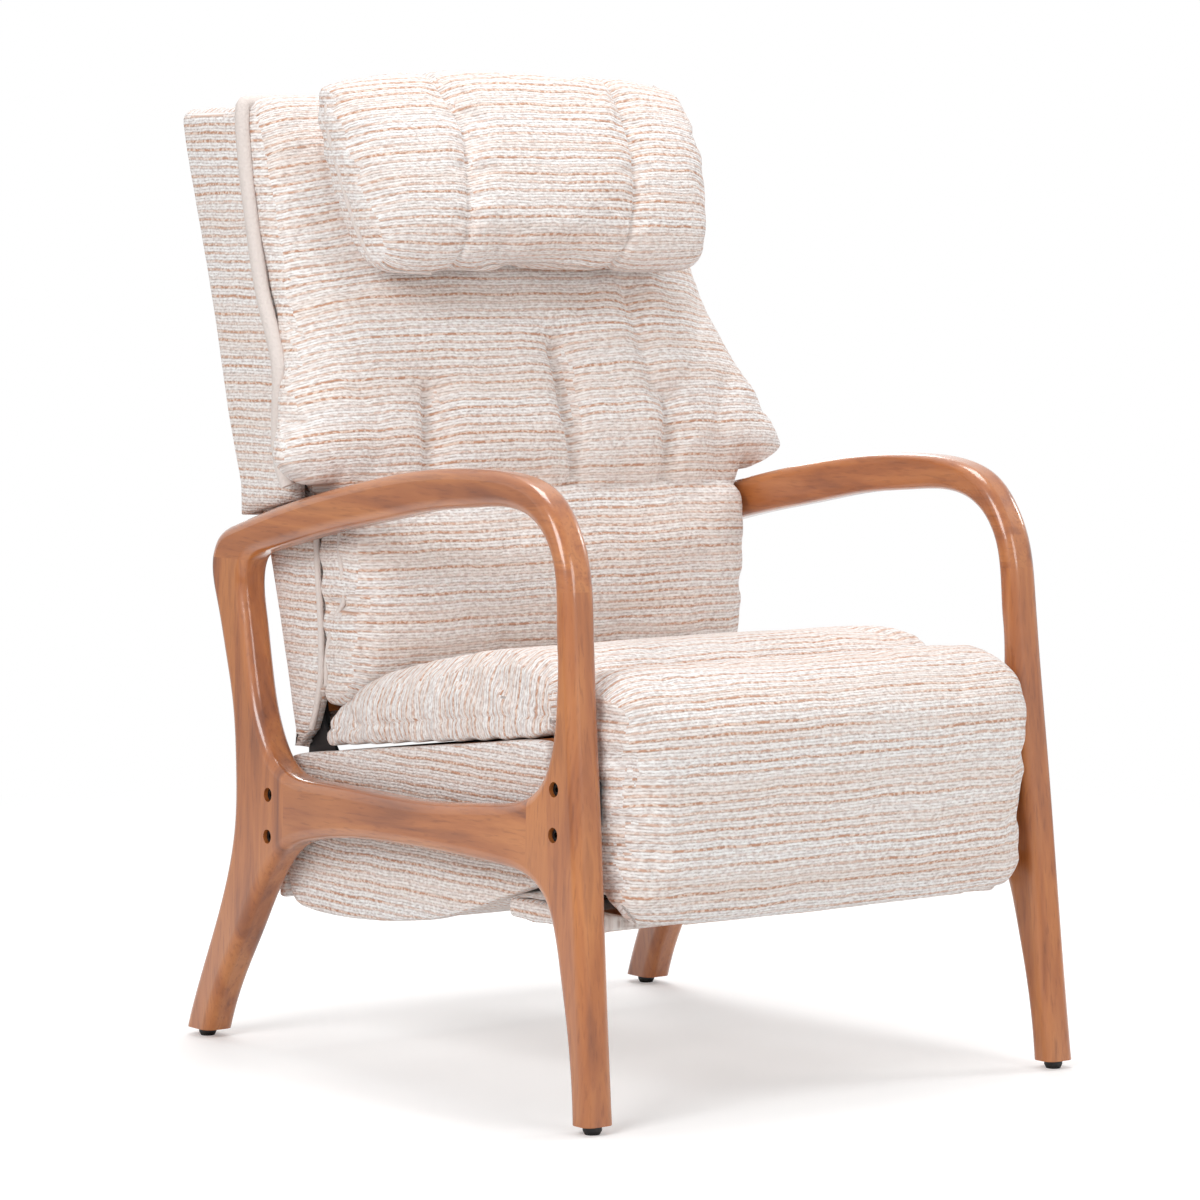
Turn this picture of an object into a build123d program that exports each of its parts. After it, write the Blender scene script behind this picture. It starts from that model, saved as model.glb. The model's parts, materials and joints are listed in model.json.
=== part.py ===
from build123d import *
import os
from math import atan2, cos, degrees, radians, sin, tan

# Power recliner with an open wooden frame, in millimetres. The front faces -Y and +Z is up.

# Overall driving sizes
foot_spacing_x = 600.0
foot_reach = 350.0
arm_height = 635.0
frame_thickness = 36.0
frame_lean_deg = 1.5
frame_round = 11.0
frame_round_wall_share = 0.0315
glide_height = 9.0
fit_gap = 0.3
cut_extra = 5.0

# Side frame outlines: shares of the foot reach along Y and of the arm height along Z
frame_outer_shares = (
    (-1.046, 0.000), (-1.000, 0.252), (-0.960, 0.491), (-0.931, 0.643), (-0.909, 0.778),
    (-0.889, 0.858), (-0.846, 0.913), (-0.751, 0.969), (-0.603, 0.995), (-0.426, 1.000),
    (-0.137, 0.991), (0.183, 0.964), (0.449, 0.935), (0.700, 0.901), (0.829, 0.881),
    (0.920, 0.858), (0.954, 0.819), (0.920, 0.740), (0.871, 0.661), (0.829, 0.584),
    (0.803, 0.472), (0.803, 0.378), (0.849, 0.276), (0.963, 0.135), (1.066, 0.000))
frame_under_shares = (
    (-0.957, 0.000), (-0.920, 0.157), (-0.886, 0.236), (-0.854, 0.299), (-0.809, 0.346),
    (-0.729, 0.375), (-0.600, 0.387), (-0.354, 0.391), (-0.057, 0.391), (0.209, 0.384),
    (0.391, 0.370), (0.509, 0.350), (0.623, 0.294), (0.749, 0.189), (0.837, 0.115), (0.934, 0.000))
frame_opening_shares = (
    (-0.840, 0.734), (-0.831, 0.813), (-0.811, 0.866), (-0.766, 0.904), (-0.700, 0.929),
    (-0.609, 0.942), (-0.426, 0.940), (-0.183, 0.928), (0.023, 0.909), (0.366, 0.876),
    (0.543, 0.855), (0.686, 0.838), (0.754, 0.822), (0.774, 0.787), (0.757, 0.732),
    (0.734, 0.677), (0.714, 0.630), (0.683, 0.575), (0.643, 0.532), (0.589, 0.496),
    (0.509, 0.474), (0.366, 0.468), (0.060, 0.466), (-0.266, 0.468), (-0.494, 0.479),
    (-0.671, 0.493), (-0.749, 0.512), (-0.800, 0.543), (-0.829, 0.586), (-0.843, 0.654))
arm_joint_share = 0.822
front_joint_share = -0.729
rear_joint_share = 0.514

# Bolts through the side frames, and the feet
bolt_rows_share = ((-0.857, 0.485), (0.600, 0.400))
bolt_pair_spacing = 44.4
bolt_radius = 4.0
bolt_head_radius = 6.3
bolt_head_length = 8.0
bolt_socket_width = 6.0
bolt_socket_depth = 4.0
bolt_hole_slack = 0.25
counterbore_radius = 7.5
counterbore_depth = 12.0
glide_radius = 9.5
glide_base_radius = 7.5
glide_rim = 5.0

# Steel base between the side frames
rail_plate_thickness = 5.0
rail_bar_height = 32.0
rail_bar_z = 272.0
rail_pad_width = 46.0
rail_pad_height = 62.0
rail_pad_lap = 8.0
rail_corner = 6.0
weld_nut_radius = 7.5
weld_nut_length = 6.5
nut_pocket_slack = 1.0
cross_tube_height = 20.0
cross_tube_depth = 40.0
cross_tube_wall = 2.0
cross_tube_z = 266.0
front_tube_y = -130.0
rear_tube_y = 110.0

# Upholstered seat body
seat_half_width = 262.0
panel_outer_x = 266.0
panel_thickness = 16.0
panel_front_y = -228.0
panel_rear_y = 246.0
panel_round = 5.0
panel_corner = 8.0
crease_front_z = 372.0
crease_slope_share = 0.12
belly_shares = (
    (0.703, 0.249), (0.611, 0.236), (0.391, 0.235), (0.203, 0.242), (0.046, 0.252),
    (-0.109, 0.265), (-0.263, 0.290), (-0.363, 0.307), (-0.466, 0.326), (-0.651, 0.358))
tube_notch_slack = 1.0
apron_thickness = 12.0
apron_top_z = 300.0
under_cover_thickness = 3.0
under_cover_rise = 2.0
under_cover_front_y = -163.0

# Seat deck and cushion
deck_front_y = -228.0
deck_rear_y = 158.0
deck_thickness = 25.0
deck_member = 38.0
webbing_width = 50.0
webbing_thickness = 2.0
webbing_count = 6
seat_front_y = -233.0
seat_rear_y = 176.0
seat_thickness = 82.0
seat_top_shares = (
    (0.0, 0.55), (0.015, 0.80), (0.06, 0.94), (0.26, 1.0), (0.48, 0.98), (0.70, 0.91), (0.84, 0.80),
    (0.94, 0.64), (0.99, 0.45), (1.0, 0.25))
end_shrink_shares = ((-1, 1), (-0.95, 0.35), (-0.82, 0), (0, 0), (0.82, 0), (0.95, 0.35), (1, 1))
seat_end_shrink_share = 0.22

# Mechanism side plates, torque tube and lift links
plate_outer_x = 246.0
plate_thickness = 4.0
torque_y = -212.0
torque_z = 216.0
torque_radius = 10.0
link_outer_x = 236.0
journal_radius = 6.0
journal_gap = 0.05
lift_pin_y = -220.0
lift_pin_z = 332.0
pin_radius = 4.0
pin_head_radius = 6.5
pin_head_length = 2.0
link_thickness = 5.0
link_half_width = 9.0
boss_radius = 10.0
layer_gap = 1.0
lift_swing_deg = 78.0
hinge_y = 215.0
hinge_z = 352.0
hinge_boss_radius = 14.0
hinge_pin_radius = 6.0
recline_deg = 36.0

# Actuators
leg_actuator_x = -60.0
leg_actuator_z = 242.0
back_actuator_x = 60.0
back_actuator_z = 290.0
tube_radius = 12.5
rod_radius = 8.0
rod_gap = 0.3
eye_radius = 9.0
eye_length = 10.0
crank_thickness = 5.0
crank_half_width = 10.5
crank_pin_radius = 4.0
crank_slot_slack = 1.9
crank_spread = 17.0
gearbox_length = 50.0
gearbox_width = 40.0
gearbox_height = 30.0
motor_radius = 20.0
motor_length = 72.0
leg_tube_front_y = -128.0
leg_tube_rear_y = 60.0
back_tube_front_y = -10.0
back_tube_rear_y = 132.0
saddle_width = 30.0
saddle_height = 6.0

# Leg rest
board_rear_y = -236.0
board_thickness = 12.0
board_bottom_z = 216.0
board_top_z = 424.0
board_half_width = 236.0
pad_half_width = 261.0
pad_front_y = -368.0
pad_bottom_z = 190.0
pad_underside_z = 214.0
pad_top_z = 447.0
pad_shares = (
    (0.00, 0.934), (0.03, 0.986), (0.14, 1.0), (0.40, 0.977), (0.68, 0.934), (0.90, 0.841), (0.985, 0.719),
    (1.00, 0.588), (0.97, 0.36), (0.925, 0.19), (0.88, 0.075), (0.81, 0.01), (0.73, 0.0), (0.68, 0.04),
    (0.65, 0.094), (0.52, 0.098), (0.30, 0.094), (0.10, 0.096), (0.00, 0.11))
pad_end_shrink_share = 0.12
bracket_thickness = 4.0
flap_hinge_y = -300.0
flap_hinge_z = 206.0
flap_rear_y = -157.0
flap_board_thickness = 6.0
flap_pad_thickness = 9.0
flap_lip = 8.0
flap_eye_radius = 5.0
flap_pin_radius = 2.5
flap_arm_width = 26.0
flap_arm_thickness = 3.0
flap_arm_x = 150.0

# Back: rear line, shell and frame
back_lean_share = 0.290
back_rear_y = 306.0
back_rear_z = 574.0
shell_top_z = 1006.0
shell_half_width = 284.0
neck_half_width = 259.0
shell_wall = 12.0
shell_skirt_z = 345.0
shell_notch_width = 12.0
shell_step_y = 150.0
shell_step_z = 606.0
shell_step_slope_share = 0.19
shell_front_shares = (
    (0.634, 0.521), (0.606, 0.535), (0.526, 0.609), (0.534, 0.726), (0.557, 0.826),
    (0.560, 0.945), (0.560, 1.039), (0.623, 1.148), (0.726, 1.276), (0.811, 1.435), (0.863, 1.584))
stile_width = 22.0
stile_depth = 30.0
stile_outer_x = 237.0
stile_bottom_z = 362.0
stile_top_z = 985.0
rail_height = 34.0
rail_shares = (0.0, 0.42, 1.0)
strap_height = 46.0
strap_count = 5
bracket_top_z = 470.0

# Back cushion: height, half width, rear, front and side flare of each section, as shares
lower_cushion_shares = (
    (0.598, 0.95, 0.543, 0.452, 0.01), (0.634, 0.992, 0.529, 0.360, 0.01), (0.728, 1.0, 0.534, 0.320, 0.01),
    (0.850, 1.0, 0.557, 0.314, 0.01), (0.965, 1.0, 0.560, 0.332, 0.01))
upper_cushion_shares = (
    (0.925, 1.11, 0.560, 0.352, 0.04), (0.955, 1.15, 0.560, 0.345, 0.13), (0.980, 1.158, 0.560, 0.342, 0.17),
    (1.008, 1.158, 0.560, 0.343, 0.15), (1.048, 1.158, 0.568, 0.362, 0.12), (1.087, 1.158, 0.577, 0.390, 0.07),
    (1.155, 1.12, 0.620, 0.437, 0.03), (1.26, 1.085, 0.715, 0.525, -0.05), (1.367, 1.085, 0.785, 0.607, -0.05),
    (1.449, 1.085, 0.820, 0.663, -0.04), (1.575, 1.065, 0.866, 0.750, -0.03), (1.605, 1.0, 0.900, 0.800, 0.0))
cushion_front_shares = ((1.0, 0.0, 0.0), (1.0, 0.4, 0.6), (0.93, 0.76, 1.0), (0.62, 0.96, 0.5), (0.0, 1.0, 0.0))

# Headrest pillow: place along the width, then bottom, top and thickness of each section
pillow_half_width = 241.0
pillow_sections_share = (
    (1.00, 0.44, 0.78, 0.30), (0.93, 0.26, 0.88, 0.62), (0.70, 0.04, 0.95, 0.90),
    (0.40, 0.00, 1.00, 0.98), (0.0, 0.0, 1.00, 1.00))
pillow_bottom_z = 828.0
pillow_top_z = 1055.0
pillow_thickness = 112.0
pillow_profile_shares = (
    (0.0, 0.5), (0.10, 0.88), (0.40, 1.0), (0.72, 0.90), (1.0, 0.52), (0.90, 0.14), (0.45, 0.0), (0.10, 0.10))
pillow_rear_y = 197.0
pillow_lean_share = 0.36

# Hand control on the side of the seat, and the electrical parts
control_y = -70.0
control_z = 326.0
control_length = 92.0
control_height = 32.0
control_flange = 2.5
control_depth = 9.0
control_corner = 10.0
button_radius = 7.0
button_spacing = 20.0
button_stand = 2.0
button_gap = 0.3
button_travel = 1.5
button_names = ("back_up_button", "back_down_button", "leg_up_button", "leg_down_button")
control_box_size = (110.0, 60.0, 26.0)
control_box_x = 110.0
inlet_width = 30.0
inlet_height = 24.0
inlet_plate = 2.5
inlet_radius = 7.0
inlet_bore = 4.0
inlet_length = 14.0
inlet_z = 190.0


def scaled(shares, length, height):
    return [(y * length, z * height) for y, z in shares]


def place_on_frame(shares):
    return scaled(shares, foot_reach, arm_height)


def slab(edges, x_start, thickness):
    """A flat piece whose outline lies in the YZ plane, from x_start towards +X."""
    face = make_face(edges if isinstance(edges, list) else [edges])
    return extrude(Plane.YZ.offset(x_start) * face, thickness)


def block(x_range, y_range, z_range):
    size = [high - low for low, high in (x_range, y_range, z_range)]
    middle = [(high + low) / 2 for low, high in (x_range, y_range, z_range)]
    return Pos(*middle) * Box(*size)


def disc(radius, x_start, length, y, z):
    """A round bar along X."""
    return Pos(x_start + length / 2, y, z) * Rot(0, 90, 0) * Cylinder(radius, length)


def bar_y(radius, y_start, length, x, z):
    """A round bar along Y."""
    return Pos(x, y_start + length / 2, z) * Rot(90, 0, 0) * Cylinder(radius, length)


def mirrored(shape):
    return mirror(shape, about=Plane.YZ)


def strip_between(start, end, half_width):
    """Outline of a straight link with round ends, in the YZ plane."""
    line = Vector(end[0] - start[0], end[1] - start[1])
    turn = degrees(atan2(line.Y, line.X))
    middle = ((start[0] + end[0]) / 2, (start[1] + end[1]) / 2)
    return Pos(*middle) * Rot(0, 0, turn) * SlotCenterToCenter(line.length, 2 * half_width)


def rounded_plate(y_range, z_range, corner):
    width, height = y_range[1] - y_range[0], z_range[1] - z_range[0]
    return Pos((y_range[0] + y_range[1]) / 2, (z_range[0] + z_range[1]) / 2) * RectangleRounded(width, height, corner)


def plate_solid(sketch, x_start, thickness):
    return extrude(Plane.YZ.offset(x_start) * sketch, thickness)


# Wooden side frames
def leaned(shape):
    """Stands a piece drawn about x = 0 on the left feet, leaning inwards."""
    return Pos(-foot_spacing_x / 2, 0, 0) * Rot(0, frame_lean_deg, 0) * shape


def side_frame():
    outer = place_on_frame(frame_outer_shares)
    under = place_on_frame(frame_under_shares)
    opening = place_on_frame(frame_opening_shares)
    edges = [Spline(*outer), Line(outer[-1], under[-1]), Spline(*under), Line(under[0], outer[0])]
    face = make_face(edges) - make_face([Spline(*opening, periodic=True)])
    frame = extrude(Plane.YZ.offset(-frame_thickness / 2) * face, frame_thickness)
    rounding = min(frame_round, frame_round_wall_share * foot_reach)
    frame = fillet(frame.edges().filter_by(GeomType.BSPLINE), rounding)
    return frame - bolt_holes()


def bolt_places():
    for row in place_on_frame(bolt_rows_share):
        for side in (-1, 1):
            yield row[0], row[1] + side * bolt_pair_spacing / 2


def bolt_holes():
    holes = []
    half = frame_thickness / 2
    for y, z in bolt_places():
        holes.append(disc(bolt_radius + bolt_hole_slack, -half, frame_thickness, y, z))
        holes.append(disc(counterbore_radius, -half, counterbore_depth, y, z))
    return Part() + holes


def frame_regions():
    far = 2 * foot_reach
    arm_z = arm_joint_share * arm_height
    front_y = front_joint_share * foot_reach
    rear_y = rear_joint_share * foot_reach
    x_range = (-frame_thickness, frame_thickness)
    return {
        "arm": block(x_range, (-far, far), (arm_z, 2 * arm_height)),
        "front_leg": block(x_range, (-far, front_y), (-cut_extra, arm_z)),
        "side_rail": block(x_range, (front_y, rear_y), (-cut_extra, arm_z)),
        "rear_leg": block(x_range, (rear_y, far), (-cut_extra, arm_z))}


def frame_bolts():
    head_x = -frame_thickness / 2 + counterbore_depth - bolt_head_length
    shank_x = head_x + bolt_head_length
    shank_length = frame_thickness / 2 - shank_x + rail_plate_thickness + weld_nut_length
    bolts = []
    for y, z in bolt_places():
        head = disc(bolt_head_radius, head_x, bolt_head_length, y, z)
        socket = plate_solid(Pos(y, z) * RegularPolygon(bolt_socket_width / 2, 6), head_x, bolt_socket_depth)
        bolts.append(head - socket + disc(bolt_radius, shank_x, shank_length, y, z))
    return bolts


def foot_glide():
    points = [(0, 0), (glide_base_radius, 0), (glide_radius, glide_height - glide_rim),
              (glide_radius, glide_height), (0, glide_height)]
    return revolve(Plane.XZ * make_face(Polyline(*points, close=True)), Axis.Z)


# Steel base
def base_rail():
    """Flat rail behind the wood, with a bolt pad at each end that laps onto its bar. Drawn about x = 0."""
    start = frame_thickness / 2
    rows = place_on_frame(bolt_rows_share)
    half_pad = rail_pad_width / 2
    bar_z = (rail_bar_z - rail_bar_height / 2, rail_bar_z + rail_bar_height / 2)
    sketch = rounded_plate((rows[0][0] - half_pad / 2, rows[1][0] + half_pad / 2), bar_z, rail_corner)
    for y, z in rows:
        low = min(z - rail_pad_height / 2, bar_z[1] - rail_pad_lap)
        high = max(z + rail_pad_height / 2, bar_z[0] + rail_pad_lap)
        sketch += rounded_plate((y - half_pad, y + half_pad), (low, high), rail_corner)
    rail = plate_solid(sketch, start, rail_plate_thickness)
    for y, z in bolt_places():
        rail += disc(weld_nut_radius, start + rail_plate_thickness, weld_nut_length, y, z)
        rail -= disc(bolt_radius + journal_gap, start, rail_plate_thickness + weld_nut_length, y, z)
    return rail


def cross_tube(y):
    half = cross_tube_height / 2
    z_range = (cross_tube_z - half, cross_tube_z + half)
    y_range = (y - cross_tube_depth / 2, y + cross_tube_depth / 2)
    reach = foot_spacing_x / 2
    outer = block((-reach, reach), y_range, z_range)
    wall = cross_tube_wall
    inner = block((-reach, reach), (y_range[0] + wall, y_range[1] - wall), (z_range[0] + wall, z_range[1] - wall))
    face_x = frame_thickness / 2 + rail_plate_thickness
    outside = leaned(block((face_x - foot_spacing_x, face_x), (-foot_reach, foot_reach), (0, arm_height)))
    return outer - inner - outside - mirrored(outside)


# Upholstered seat body
def crease_z(y):
    return crease_front_z - crease_slope_share * (y - seat_front_y)


def belly_points():
    return place_on_frame(belly_shares)


def tube_notches(slack):
    half = cross_tube_height / 2 + slack
    reach = foot_spacing_x / 2
    cuts = []
    for y in (front_tube_y, rear_tube_y):
        side = cross_tube_depth / 2 + slack
        cuts.append(block((-reach, reach), (y - side, y + side), (cross_tube_z - half, cross_tube_z + half)))
    return cuts


def seat_side():
    """Padded side panel of the seat body, with its outer edges rounded."""
    belly = belly_points()
    corners = [belly[-1], (panel_front_y, crease_z(panel_front_y) - fit_gap),
               (panel_rear_y, crease_z(panel_rear_y) - fit_gap), belly[0]]
    edges = [Spline(*belly)] + [Line(a, b) for a, b in zip(corners[:-1], corners[1:])]
    outline = make_face(edges)
    panel = plate_solid(fillet(outline.vertices(), panel_corner), -panel_outer_x, panel_thickness)
    panel = fillet(panel.faces().sort_by(Axis.X)[0].edges(), panel_round)
    for cut in tube_notches(tube_notch_slack):
        panel -= cut
    pocket = 2 * weld_nut_length
    for y, z in bolt_places():
        if y > 0:
            panel -= disc(weld_nut_radius + nut_pocket_slack, -panel_outer_x - weld_nut_length, pocket, y, z)
    return panel


def under_cover():
    """Thin sheet that closes the belly of the seat."""
    belly = belly_points()
    low = [(y, z + under_cover_rise) for y, z in belly]
    high = [(y, z + under_cover_rise + under_cover_thickness) for y, z in belly]
    edges = [Spline(*low), Line(low[-1], high[-1]), Spline(*reversed(high)), Line(high[0], low[0])]
    inner = panel_outer_x - panel_thickness
    sheet = slab(edges, -inner, 2 * inner)
    return sheet & block((-inner, inner), (under_cover_front_y, panel_rear_y), (0, arm_height))


def rear_apron():
    low = belly_points()[0]
    y_range = (panel_rear_y + fit_gap, panel_rear_y + apron_thickness)
    apron = block((-panel_outer_x, panel_outer_x), y_range, (low[1], apron_top_z))
    apron = fillet(apron.edges().filter_by(Axis.Z), panel_round)
    hole = bar_y(inlet_radius + fit_gap, panel_rear_y - cut_extra, apron_thickness + 2 * cut_extra, 0, inlet_z)
    return apron - hole


# Seat deck and cushion
def deck_z(y):
    return crease_z(y) - fit_gap


def seat_deck():
    inner = panel_outer_x - panel_thickness - fit_gap
    top = [(deck_front_y, deck_z(deck_front_y)), (deck_rear_y, deck_z(deck_rear_y))]
    low = [(y, z - deck_thickness) for y, z in reversed(top)]
    deck = slab(Polyline(*(top + low), close=True), -inner, 2 * inner)
    hole_y = (deck_front_y + deck_member, deck_rear_y - deck_member / 2)
    hole_x = inner - deck_member
    deck -= block((-hole_x, hole_x), hole_y, (0, arm_height))
    strap_low = [(y, z - webbing_thickness) for y, z in reversed(top)]
    for x in strap_places():
        deck -= slab(Polyline(*(top + strap_low), close=True), x - webbing_width / 2, webbing_width)
    return deck


def strap_places():
    inner = panel_outer_x - panel_thickness - fit_gap - deck_member
    pitch = 2 * inner / webbing_count
    return [-inner + pitch * (index + 1 / 2) for index in range(webbing_count)]


def seat_webbing():
    top = [(deck_front_y, deck_z(deck_front_y)), (deck_rear_y, deck_z(deck_rear_y))]
    low = [(y, z - webbing_thickness) for y, z in reversed(top)]
    outline = Polyline(*(top + low), close=True)
    return [slab(outline, x - webbing_width / 2, webbing_width) for x in strap_places()]


def soft_loft(points, half_width, shrink_share):
    """Cushion whose profile is flat between its last and first point, drawn in towards both ends."""
    anchor = (Vector(*points[0]) + Vector(*points[-1])) / 2
    profiles = []
    for place, shrink in end_shrink_shares:
        size = 1 - shrink_share * shrink
        ring = [anchor + (Vector(*point) - anchor) * size for point in points]
        face = make_face([Spline(*ring), Line(ring[-1], ring[0])])
        profiles.append(Plane.YZ.offset(place * half_width) * face)
    return loft(profiles)


def seat_cushion():
    """Crowned top over a flat base that lies along the crease."""
    length = seat_rear_y - seat_front_y
    rear, front = (seat_rear_y, crease_z(seat_rear_y)), (seat_front_y, crease_z(seat_front_y))
    sections = []
    for place, shrink in end_shrink_shares:
        height = seat_thickness * (1 - seat_end_shrink_share * shrink)
        top = []
        for y_share, z_share in seat_top_shares:
            y = seat_front_y + length * y_share
            top.append((y, crease_z(y) + height * z_share))
        edges = [Spline(*top), Line(top[-1], rear), Line(rear, front), Line(front, top[0])]
        sections.append(Plane.YZ.offset(place * seat_half_width) * make_face(edges))
    return loft(sections)


# Mechanism fixed to the base
def mechanism_plate():
    """Left side plate: it stands on the cross tubes and carries the deck, the torque tube and the back hinge."""
    front_y = torque_y - boss_radius
    tube_top = cross_tube_z + cross_tube_height / 2
    points = [(front_y, deck_z(front_y) - deck_thickness), (deck_rear_y, deck_z(deck_rear_y) - deck_thickness),
              (seat_rear_y, crease_z(seat_rear_y) - layer_gap), (hinge_y - hinge_boss_radius, hinge_z),
              (hinge_y + hinge_boss_radius, hinge_z), (hinge_y + hinge_boss_radius, tube_top),
              (front_tube_y - cross_tube_depth / 2, tube_top), (torque_y + 2 * boss_radius, torque_z),
              (front_y, torque_z)]
    sketch = make_face(Polyline(*points, close=True))
    sketch += Pos(hinge_y, hinge_z) * Circle(hinge_boss_radius)
    sketch += Pos(torque_y, torque_z) * Circle(boss_radius)
    sketch -= Pos(hinge_y, hinge_z) * Circle(hinge_pin_radius + journal_gap)
    sketch -= Pos(torque_y, torque_z) * Circle(journal_radius + journal_gap)
    return plate_solid(sketch, -plate_outer_x, plate_thickness)


def actuator(x, z, tube_y, box_y, sign, seat_y):
    """Gearbox and outer tube along Y; sign is -1 below the cross tubes and 1 above them."""
    face_z = cross_tube_z + sign * cross_tube_height / 2
    half = gearbox_width / 2
    gearbox = block((x - half, x + half), box_y, sorted((face_z, face_z + sign * gearbox_height)))
    gearbox = fillet(gearbox.edges().filter_by(Axis.Z), saddle_height)
    seat_half = saddle_width / 2
    saddle = block((x - seat_half, x + seat_half), (seat_y - seat_half, seat_y + seat_half), sorted((face_z, z)))
    body = bar_y(tube_radius, tube_y[0], tube_y[1] - tube_y[0], x, z) + gearbox + saddle
    if sign > 0:
        strap = block((x - seat_half, x + seat_half), (front_tube_y, box_y[1]), (face_z, face_z + saddle_height))
        body += strap
    low, high = (box_y[1], tube_y[1] + cut_extra) if sign > 0 else (seat_y - seat_half - cut_extra, box_y[0])
    return body - bar_y(rod_radius + rod_gap, low, high - low, x, z)


def actuator_motor(x, y, sign):
    """Motor can along X beside the gearbox, with a stepped end cap; it points away from the middle."""
    z = cross_tube_z + sign * (cross_tube_height / 2 + motor_radius)
    start = gearbox_width / 2
    can = disc(motor_radius, start, motor_length, y, z)
    cap = disc(motor_radius / 2, start + motor_length, cut_extra, y, z)
    motor = can + cap
    return Pos(x, 0, 0) * (motor if x > 0 else mirrored(motor))


def actuator_rod(x, z, eye_y, inner_y):
    """Sliding rod with a cross pin through its eye."""
    low, high = min(eye_y, inner_y), max(eye_y, inner_y)
    rod = bar_y(rod_radius, low, high - low, x, z)
    rod += disc(eye_radius, x - eye_length / 2, eye_length, eye_y, z)
    return rod + disc(crank_pin_radius, x - crank_spread, 2 * crank_spread, eye_y, z)


def crank_plates(x, pivot, pin, near_radius, far_radius):
    """Two slotted plates beside an actuator rod, from the pivot to beyond the pin's farthest place."""
    reach = Vector(pin[0] - pivot[0], pin[1] - pivot[1]).normalized()
    far = (pivot[0] + reach.X * far_radius, pivot[1] + reach.Y * far_radius)
    near = (pivot[0] + reach.X * near_radius, pivot[1] + reach.Y * near_radius)
    plate = strip_between(pivot, far, crank_half_width) - strip_between(near, far, crank_pin_radius + crank_slot_slack)
    gap = rod_radius + layer_gap
    return [plate_solid(plate, x + start, crank_thickness) for start in (gap, -gap - crank_thickness)]


def leg_crank():
    height = leg_actuator_z - torque_z
    pin = (leg_pin_y(), leg_actuator_z)
    far = height / cos(radians(lift_swing_deg / 2))
    plates = crank_plates(leg_actuator_x, (torque_y, torque_z), pin, height, far)
    return [plate - disc(torque_radius, -link_outer_x, 2 * link_outer_x, torque_y, torque_z) for plate in plates]


def back_crank():
    """Crank plates that hang from the bottom rail of the back."""
    height = hinge_z - back_actuator_z
    top = (hinge_y, stile_bottom_z - crank_half_width)
    drop = top[1] - hinge_z
    far = height / cos(radians(recline_deg))
    plates = crank_plates(back_actuator_x, top, (hinge_y, back_actuator_z), height + drop, far + drop)
    gap = rod_radius + layer_gap
    pieces = []
    for plate, start in zip(plates, (gap, -gap - crank_thickness)):
        x = back_actuator_x + start
        root = block((x, x + crank_thickness), (hinge_y - crank_half_width, hinge_y + crank_half_width),
                     (top[1], stile_bottom_z))
        pieces.append(plate + root)
    return pieces


# Leg rest lift
def torque_tube():
    half = link_outer_x - link_thickness
    tube = disc(torque_radius, -half, 2 * half, torque_y, torque_z)
    return tube + disc(journal_radius, -plate_outer_x, 2 * plate_outer_x, torque_y, torque_z)


def lift_link():
    """Left link from the torque tube to the leg rest bracket."""
    sketch = strip_between((torque_y, torque_z), (lift_pin_y, lift_pin_z), link_half_width)
    sketch -= Pos(torque_y, torque_z) * Circle(journal_radius)
    sketch -= Pos(lift_pin_y, lift_pin_z) * Circle(pin_radius + journal_gap)
    return plate_solid(sketch, -link_outer_x, link_thickness)


def leg_pin_y():
    return torque_y + (leg_actuator_z - torque_z) * tan(radians(lift_swing_deg / 2))


# Leg rest
def bracket_x():
    return -(link_outer_x - link_thickness - layer_gap)


def pad_bracket():
    start = bracket_x()
    top = lift_pin_z + link_half_width
    low = board_bottom_z + boss_radius
    points = [(board_rear_y, low), (board_rear_y, top), (lift_pin_y, top), (lift_pin_y + boss_radius, lift_pin_z),
              (lift_pin_y + boss_radius, lift_pin_z - 2 * boss_radius)]
    sketch = make_face(Polyline(*points, close=True)) - Pos(lift_pin_y, lift_pin_z) * Circle(pin_radius)
    web = plate_solid(sketch, start, bracket_thickness)
    return web + block((start, start + 2 * boss_radius), (board_rear_y, board_rear_y + bracket_thickness), (low, top))


def pad_pin():
    start = -link_outer_x - layer_gap
    pin = disc(pin_radius, start, bracket_x() + bracket_thickness - start, lift_pin_y, lift_pin_z)
    return pin + disc(pin_head_radius, start - pin_head_length, pin_head_length, lift_pin_y, lift_pin_z)


def leg_rest_board():
    board = block((-board_half_width, board_half_width), (board_rear_y - board_thickness, board_rear_y),
                  (board_bottom_z, board_top_z))
    return fillet(board.edges().filter_by(Axis.Y), boss_radius)


def leg_rest_pad():
    rear = board_rear_y - board_thickness - fit_gap
    depth, height = pad_front_y - rear, pad_top_z - pad_bottom_z
    points = [(rear + depth * y, pad_bottom_z + height * z) for y, z in pad_shares]
    return soft_loft(points, pad_half_width, pad_end_shrink_share)


def flap_arm():
    """Left steel arm that carries the hinge of the foot flap under the leg rest."""
    x_range = (-flap_arm_x, -flap_arm_x + flap_arm_width)
    top = pad_underside_z - layer_gap
    rear = board_rear_y + flap_arm_thickness
    foot = block(x_range, (flap_hinge_y, rear), (top - flap_arm_thickness, top))
    back = block(x_range, (board_rear_y, rear), (top - flap_arm_thickness, board_bottom_z + 2 * flap_arm_width))
    lug = block(x_range, (flap_hinge_y - flap_eye_radius, flap_hinge_y + flap_eye_radius), (flap_hinge_z, top))
    eye = disc(flap_eye_radius, -flap_arm_x, flap_arm_width, flap_hinge_y, flap_hinge_z)
    hole = disc(flap_pin_radius, -flap_arm_x, flap_arm_width, flap_hinge_y, flap_hinge_z)
    return foot + back + lug + eye - hole


def flap_pin():
    return disc(flap_pin_radius, -flap_arm_x, 2 * flap_arm_width + layer_gap, flap_hinge_y, flap_hinge_z)


def flap_board_z():
    return flap_hinge_z - flap_eye_radius - layer_gap


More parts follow.
